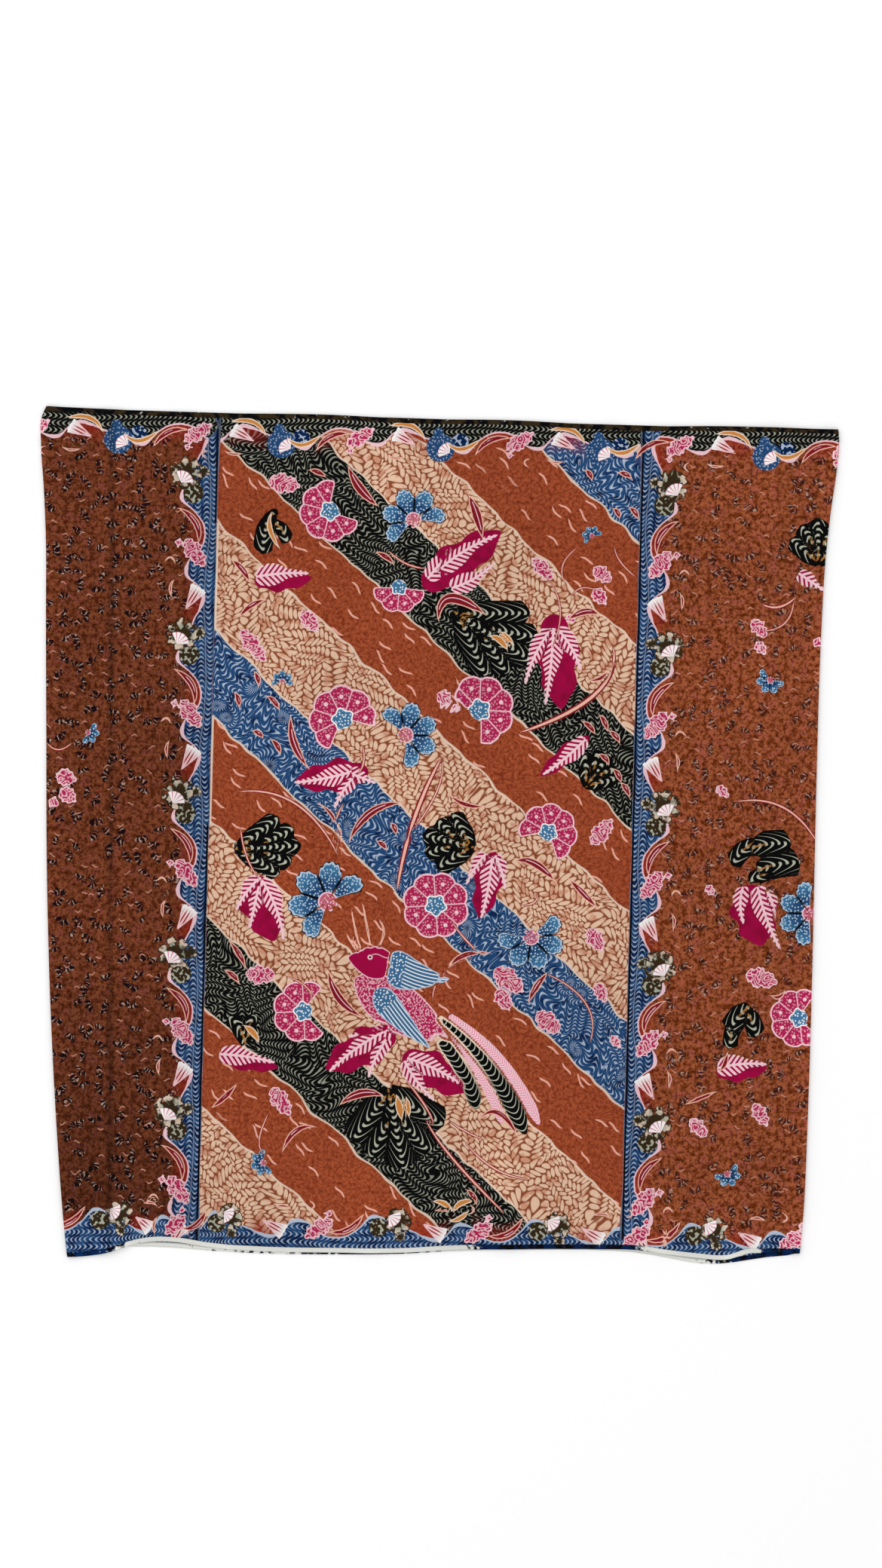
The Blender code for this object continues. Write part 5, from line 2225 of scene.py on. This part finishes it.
@dataclass(frozen=True)
class Strip:
    """One strip of the shell: a stretch of the way round, over one band of the cloth's height.

    The outer face carries the pattern, so its grid is fine. The inner face is coarse, and one
    rim face spans each coarse step and the fine steps beside it.
    """

    name: str
    runs: tuple[tuple[Run, int], ...]
    band: Band
    rows: int
    replaces: tuple[str, ...]
    slot: str
    coarse: int = 4
    outer_lift: float = 0.6 * MM
    inner_drop: float = 0.3 * MM
    wear_and_painted_light: WearAndPaintedLight = WearAndPaintedLight()

    def grid(self, form: ClothForm) -> ShellGrid:
        """Works out the strip's points.

        Both faces lie along the normals of the wall's middle, the outer one at the solid's own
        outer surface.

        Args:
            form: the cloth's shape.

        Returns:
            The points of both faces.
        """
        shares = np.linspace(0, 1, self.rows + 1)
        runs = []
        for number, (run, columns) in enumerate(self.runs):
            fractions = np.linspace(0, 1, columns + 1)[min(number, 1) :]
            runs.append(form.run_points(run, fractions, self.band, shares))
        joined = SectionPoints(*(np.concatenate(part, axis=1) for part in zip(*runs)))
        normals = np.stack([joined.normal_x, np.zeros_like(joined.x), joined.normal_z], axis=2)
        middle = np.stack([joined.x, joined.y, joined.z], axis=2)
        outer = middle + normals * self.outer_lift
        inner = (middle - normals * self.inner_drop)[:: self.coarse, :: self.coarse]
        relief = (joined.z - form.front_z) * (joined.normal_z > FACES_UP)
        return ShellGrid(outer, inner, joined.around / MM, joined.y / MM, relief / MM)

    def faces(self, grid: ShellGrid) -> tuple[Grid, list[list[int]]]:
        """The quads of both faces, and the rim's faces.

        Args:
            grid: the strip's points.

        Returns:
            The quads as an array, and the rim faces as lists of vertex numbers.
        """
        outer = np.arange(grid.outer.shape[0] * grid.outer.shape[1])
        outer = outer.reshape(grid.outer.shape[:2])
        inner = outer.size + np.arange(grid.inner.shape[0] * grid.inner.shape[1])
        inner = inner.reshape(grid.inner.shape[:2])
        quads = np.concatenate([self.quads(outer), self.quads(inner[:, ::-1])])
        rims = (
            (outer[0, ::-1], inner[0, ::-1]),
            (outer[-1], inner[-1]),
            (outer[:, 0], inner[:, 0]),
            (outer[::-1, -1], inner[::-1, -1]),
        )
        rim_faces = [face for fine, coarse in rims for face in self.rim(fine, coarse)]
        return quads, rim_faces

    @staticmethod
    def quads(index: Grid) -> Grid:
        """The quads between neighbouring rows and columns of vertex numbers."""
        corners = (index[:-1, :-1], index[:-1, 1:], index[1:, 1:], index[1:, :-1])
        return np.stack(corners, axis=2).reshape(-1, 4)

    def rim(self, fine: Grid, coarse: Grid) -> list[list[int]]:
        """Rim faces along one side: each joins the fine steps over one coarse step to it.

        Args:
            fine: the outer face's vertices along that side.
            coarse: the inner face's.

        Returns:
            The faces as lists of vertex numbers.
        """
        made = []
        for step in range(len(coarse) - 1):
            along = fine[step * self.coarse : (step + 1) * self.coarse + 1]
            made.append([*along.tolist(), int(coarse[step + 1]), int(coarse[step])])
        return made

    def chart(self, grid: ShellGrid) -> Grid:
        """The strip's flat chart: its outer face on the left, its inner face on the right.

        Args:
            grid: the strip's points.

        Returns:
            A place on the chart for every vertex.
        """
        places = []
        for face, columns in ((grid.outer, OUTER_CHART), (grid.inner, INNER_CHART)):
            u = np.linspace(*columns, face.shape[1])
            v = np.linspace(*CHART_ROWS, face.shape[0])
            places.append(np.stack(np.meshgrid(u, v), axis=2).reshape(-1, 2))
        return np.concatenate(places)

    def attributes(self, form: ClothForm, grid: ShellGrid, motifs: Sequence[Motif]) -> dict[str, Grid]:
        """What the materials read, for every vertex of both faces.

        Args:
            form: the cloth's shape.
            grid: the strip's points.
            motifs: the cloth's motifs.

        Returns:
            The attributes by name.
        """
        around = grid.around.ravel()
        up = grid.up.ravel()
        made = pattern_attributes(around, up, motifs)
        x = grid.outer[:, :, 0].ravel()
        made["wear_and_painted_light"] = self.wear_and_painted_light.read(form, x, up, grid.relief.ravel())
        made["undyed"] = undyed_share(around, up)
        size = grid.around.shape
        thinned = {}
        for name, values in made.items():
            field_grid = values.reshape(*size, -1)[:: self.coarse, :: self.coarse]
            inner = field_grid.reshape(-1, *values.shape[1:])
            thinned[name] = np.concatenate([values, inner])
        return thinned

    def build(
        self, form: ClothForm, motifs: Sequence[Motif], material: bpy.types.Material
    ) -> BuiltStrip:
        """Makes the strip's object, with its material, chart and attributes.

        Args:
            form: the cloth's shape.
            motifs: the cloth's motifs.
            material: its finish.

        Returns:
            The object and the size of its cut.
        """
        grid = self.grid(form)
        quads, rim_faces = self.faces(grid)
        points = np.concatenate([grid.outer.reshape(-1, 3), grid.inner.reshape(-1, 3)])
        mesh = bpy.data.meshes.new(self.name)
        mesh.from_pydata(points, [], [*quads.tolist(), *rim_faces])
        smooth = np.ones(len(mesh.polygons), bool)
        smooth[len(quads) :] = False
        mesh.polygons.foreach_set("use_smooth", smooth)
        self.write_chart(mesh, self.chart(grid))
        for name, values in self.attributes(form, grid, motifs).items():
            kind = "FLOAT_VECTOR" if values.ndim == 2 else "FLOAT"
            layer = mesh.attributes.new(name, kind, "POINT")
            layer.data.foreach_set("vector" if values.ndim == 2 else "value", values.ravel())
        mesh.materials.append(material)
        mesh.update()
        made = bpy.data.objects.new(self.name, mesh)
        bpy.context.scene.collection.objects.link(made)
        width, length = self.flat_size(grid)
        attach(made, "root")
        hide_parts(*self.replaces)
        LOG.info("%s: %d faces, cut %.3f x %.3f m", self.name, len(mesh.polygons), width, length)
        return BuiltStrip(made, width, length)

    @staticmethod
    def write_chart(mesh: bpy.types.Mesh, places: Grid) -> None:
        """Stores the chart as the mesh's UV map, corner by corner.

        Args:
            mesh: the strip's mesh.
            places: each vertex's place on the chart.
        """
        corner = np.empty(len(mesh.loops), np.int32)
        mesh.loops.foreach_get("vertex_index", corner)
        layer = mesh.uv_layers.new(name="OFBake")
        layer.data.foreach_set("uv", places[corner].astype(np.float32).ravel())

    @staticmethod
    def flat_size(grid: ShellGrid) -> tuple[float, float]:
        """The strip's cut, measured on its outer face as the mean of its rows and columns.

        Args:
            grid: the strip's points.

        Returns:
            Its length round the tube and up the cloth, in metres.
        """
        round_steps = np.linalg.norm(np.diff(grid.outer, axis=1), axis=2)
        up_steps = np.linalg.norm(np.diff(grid.outer, axis=0), axis=2)
        return float(round_steps.sum(axis=1).mean()), float(up_steps.sum(axis=0).mean())


UNDYED_AT_WAIST = 0.15


def undyed_share(around: Grid, up: Grid) -> Grid:
    """How far each point of the two woven edges stayed undyed.

    At the bottom the dye stopped short of the edge along most of the front, and along
    stretches of the back. At the waist it reached the edge nearly everywhere.

    Args:
        around: places round the tube, in mm.
        up: places up the cloth, in mm.

    Returns:
        From 0, dyed, to 1, undyed.
    """
    marks = (-420, -380, -340, 40, 90, 270, 300, 420, 445, 560, 640, 900, 1000, 1350)
    shares = (0.1, 0.5, 1.0, 1.0, 0.1, 0.1, 1.0, 1.0, 0.2, 0.1, 1.0, 1.0, 0.1, 1.0)
    return np.where(up < 0, np.interp(around, marks, shares), UNDYED_AT_WAIST)


# The columns of each run in the woven edges, which go all round.
ALL_ROUND = tuple(zip(Run, (20, 12, 40, 104, 44, 12, 16, 120)))
COTTON_SLOT = "batik_cotton"
SELVAGE_SLOT = "undyed_selvage"


@dataclass(frozen=True)
class Sarong:
    """The whole laid tube: four strips of dyed cloth, two woven edges and the seam inside."""

    form: ClothForm = ClothForm()

    def strips(self) -> tuple[Strip, ...]:
        """The strips.

        Returns:
            Those of dyed cloth from the left of the front round to the back, then both edges.
        """
        left = ((Run.BACK_LEFT, 19), (Run.LEFT_TURN, 12), (Run.FRONT_LEFT, 85))
        right = ((Run.FRONT_RIGHT, 90), (Run.RIGHT_TURN, 12), (Run.LIP_RIGHT, 18))
        both_panels = ("front_panel", "back_panel_left")
        under_panels = ("front_panel", "back_panel_right")
        bottom = ("front_bottom_selvage", "back_bottom_selvage")
        waist = ("front_waist_selvage", "back_waist_selvage")
        body = Band.BODY
        return (
            Strip("left_body", left, body, 408, both_panels, COTTON_SLOT),
            Strip("head_panel", ((Run.HEAD, 208),), body, 408, ("front_panel",), COTTON_SLOT),
            Strip("right_body", right, body, 408, under_panels, COTTON_SLOT),
            Strip("back_body", ((Run.BACK_MAIN, 240),), body, 312, under_panels, COTTON_SLOT),
            Strip("bottom_selvage", ALL_ROUND, Band.BOTTOM_SELVAGE, 4, bottom, SELVAGE_SLOT),
            Strip("waist_selvage", ALL_ROUND, Band.WAIST_SELVAGE, 4, waist, SELVAGE_SLOT),
        )

    def build(self) -> list[bpy.types.Object]:
        """Builds the finishes, then every strip; the woven edges run all round.

        Returns:
            The pieces built.
        """
        motifs = all_motifs()
        field_cloth = BatikFinish("batik_field", is_head=False).build()
        head_cloth = BatikFinish("batik_head_panel", is_head=True).build()
        edge_cloth = SelvageFinish("woven_edge").build()
        bodies: list[BuiltStrip] = []
        edges: list[BuiltStrip] = []
        for strip in self.strips():
            if strip.slot == SELVAGE_SLOT:
                edges.append(strip.build(self.form, motifs, edge_cloth))
                continue
            material = head_cloth if strip.name == "head_panel" else field_cloth
            bodies.append(strip.build(self.form, motifs, material))
        self.finish_seam(SeamFinish("seam_overlap").build())
        return [built.piece for built in (*bodies, *edges)]

    @staticmethod
    def finish_seam(material: bpy.types.Material) -> None:
        """Gives the seam's own solid its material.

        Args:
            material: the finish.
        """
        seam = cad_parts["side_seam"]
        seam.data.materials.clear()
        seam.data.materials.append(material)
        LOG.info("side_seam: the solid itself, finished")


# ---------------------------------------------------------------------------------------------
# Studio: the white ground, soft light and the camera above
# ---------------------------------------------------------------------------------------------


@dataclass(frozen=True)
class Studio:
    """A pale plain ground under even soft light, seen from straight above."""

    ground_size: float = 12.0
    ground_drop: float = 0.4 * MM
    ground_grey: float = 0.92
    sky_strength: float = 1.0
    lamp_power: float = 26.0
    lamp_size: float = 3.2
    lamp_place: tuple[float, float, float] = (-1.9, 1.7, 2.6)
    camera_height: float = 3.5
    camera_turn: float = math.radians(1.5)
    view_centre: tuple[float, float] = (12.7 * MM, 73.1 * MM)
    view_height: float = 1.9916
    film_height: float = 36.0

    def build_ground(self) -> None:
        """A large matt plane just under the cloth, which isn't part of it."""
        half = self.ground_size / 2
        corners = [(-half, -half), (half, -half), (half, half), (-half, half)]
        mesh = bpy.data.meshes.new("ground")
        mesh.from_pydata([(x, y, -self.ground_drop) for x, y in corners], [], [(0, 1, 2, 3)])
        ground = bpy.data.objects.new("ground", mesh)
        bpy.context.scene.collection.objects.link(ground)
        recipe = Recipe("paper_ground")
        grey = (*[self.ground_grey] * 3, 1)
        recipe.surface({"Base Color": grey, "Roughness": 1.0, "Specular IOR Level": 0.0})
        mesh.materials.append(recipe.material)

    def build_light(self) -> None:
        """An even white sky, and one large soft lamp to the upper left for faint modelling."""
        world = bpy.data.worlds.new("soft_sky")
        bpy.context.scene.world = world
        world.use_nodes = True
        background = world.node_tree.nodes["Background"]
        background.inputs["Color"].default_value = (1, 1, 1, 1)
        background.inputs["Strength"].default_value = self.sky_strength
        lamp = bpy.data.lights.new("window_lamp", "AREA")
        lamp.energy = self.lamp_power
        lamp.size = self.lamp_size
        holder = bpy.data.objects.new("window_lamp", lamp)
        holder.location = self.lamp_place
        holder.rotation_euler = Vector(self.lamp_place).to_track_quat("Z", "Y").to_euler()
        holder.visible_camera = False
        bpy.context.scene.collection.objects.link(holder)

    def build_camera(self) -> None:
        """A camera straight above, turned a little, framing the view's height."""
        lens = bpy.data.cameras.new("camera_above")
        lens.type = "PERSP"
        lens.sensor_fit = "VERTICAL"
        lens.sensor_height = self.film_height
        lens.lens = self.film_height * self.camera_height / self.view_height
        lens.dof.use_dof = False
        camera = bpy.data.objects.new("camera_above", lens)
        camera.location = (*self.view_centre, self.camera_height)
        camera.rotation_euler = (0.0, 0.0, self.camera_turn)
        bpy.context.scene.collection.objects.link(camera)
        bpy.context.scene.camera = camera

    def build(self) -> None:
        """Ground, light, camera, and plain colour handling."""
        self.build_ground()
        self.build_light()
        self.build_camera()
        bpy.context.scene.view_settings.view_transform = "Standard"
        LOG.info("studio: ground, sky, lamp, camera")


def main() -> None:
    """Builds the studio and the sarong."""
    logging.basicConfig(level=logging.INFO, format="%(message)s")
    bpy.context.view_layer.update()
    Studio().build()
    pieces = Sarong().build()
    bpy.context.view_layer.update()
    LOG.info("%d pieces built", len(pieces))


if __name__ == "__main__":
    main()
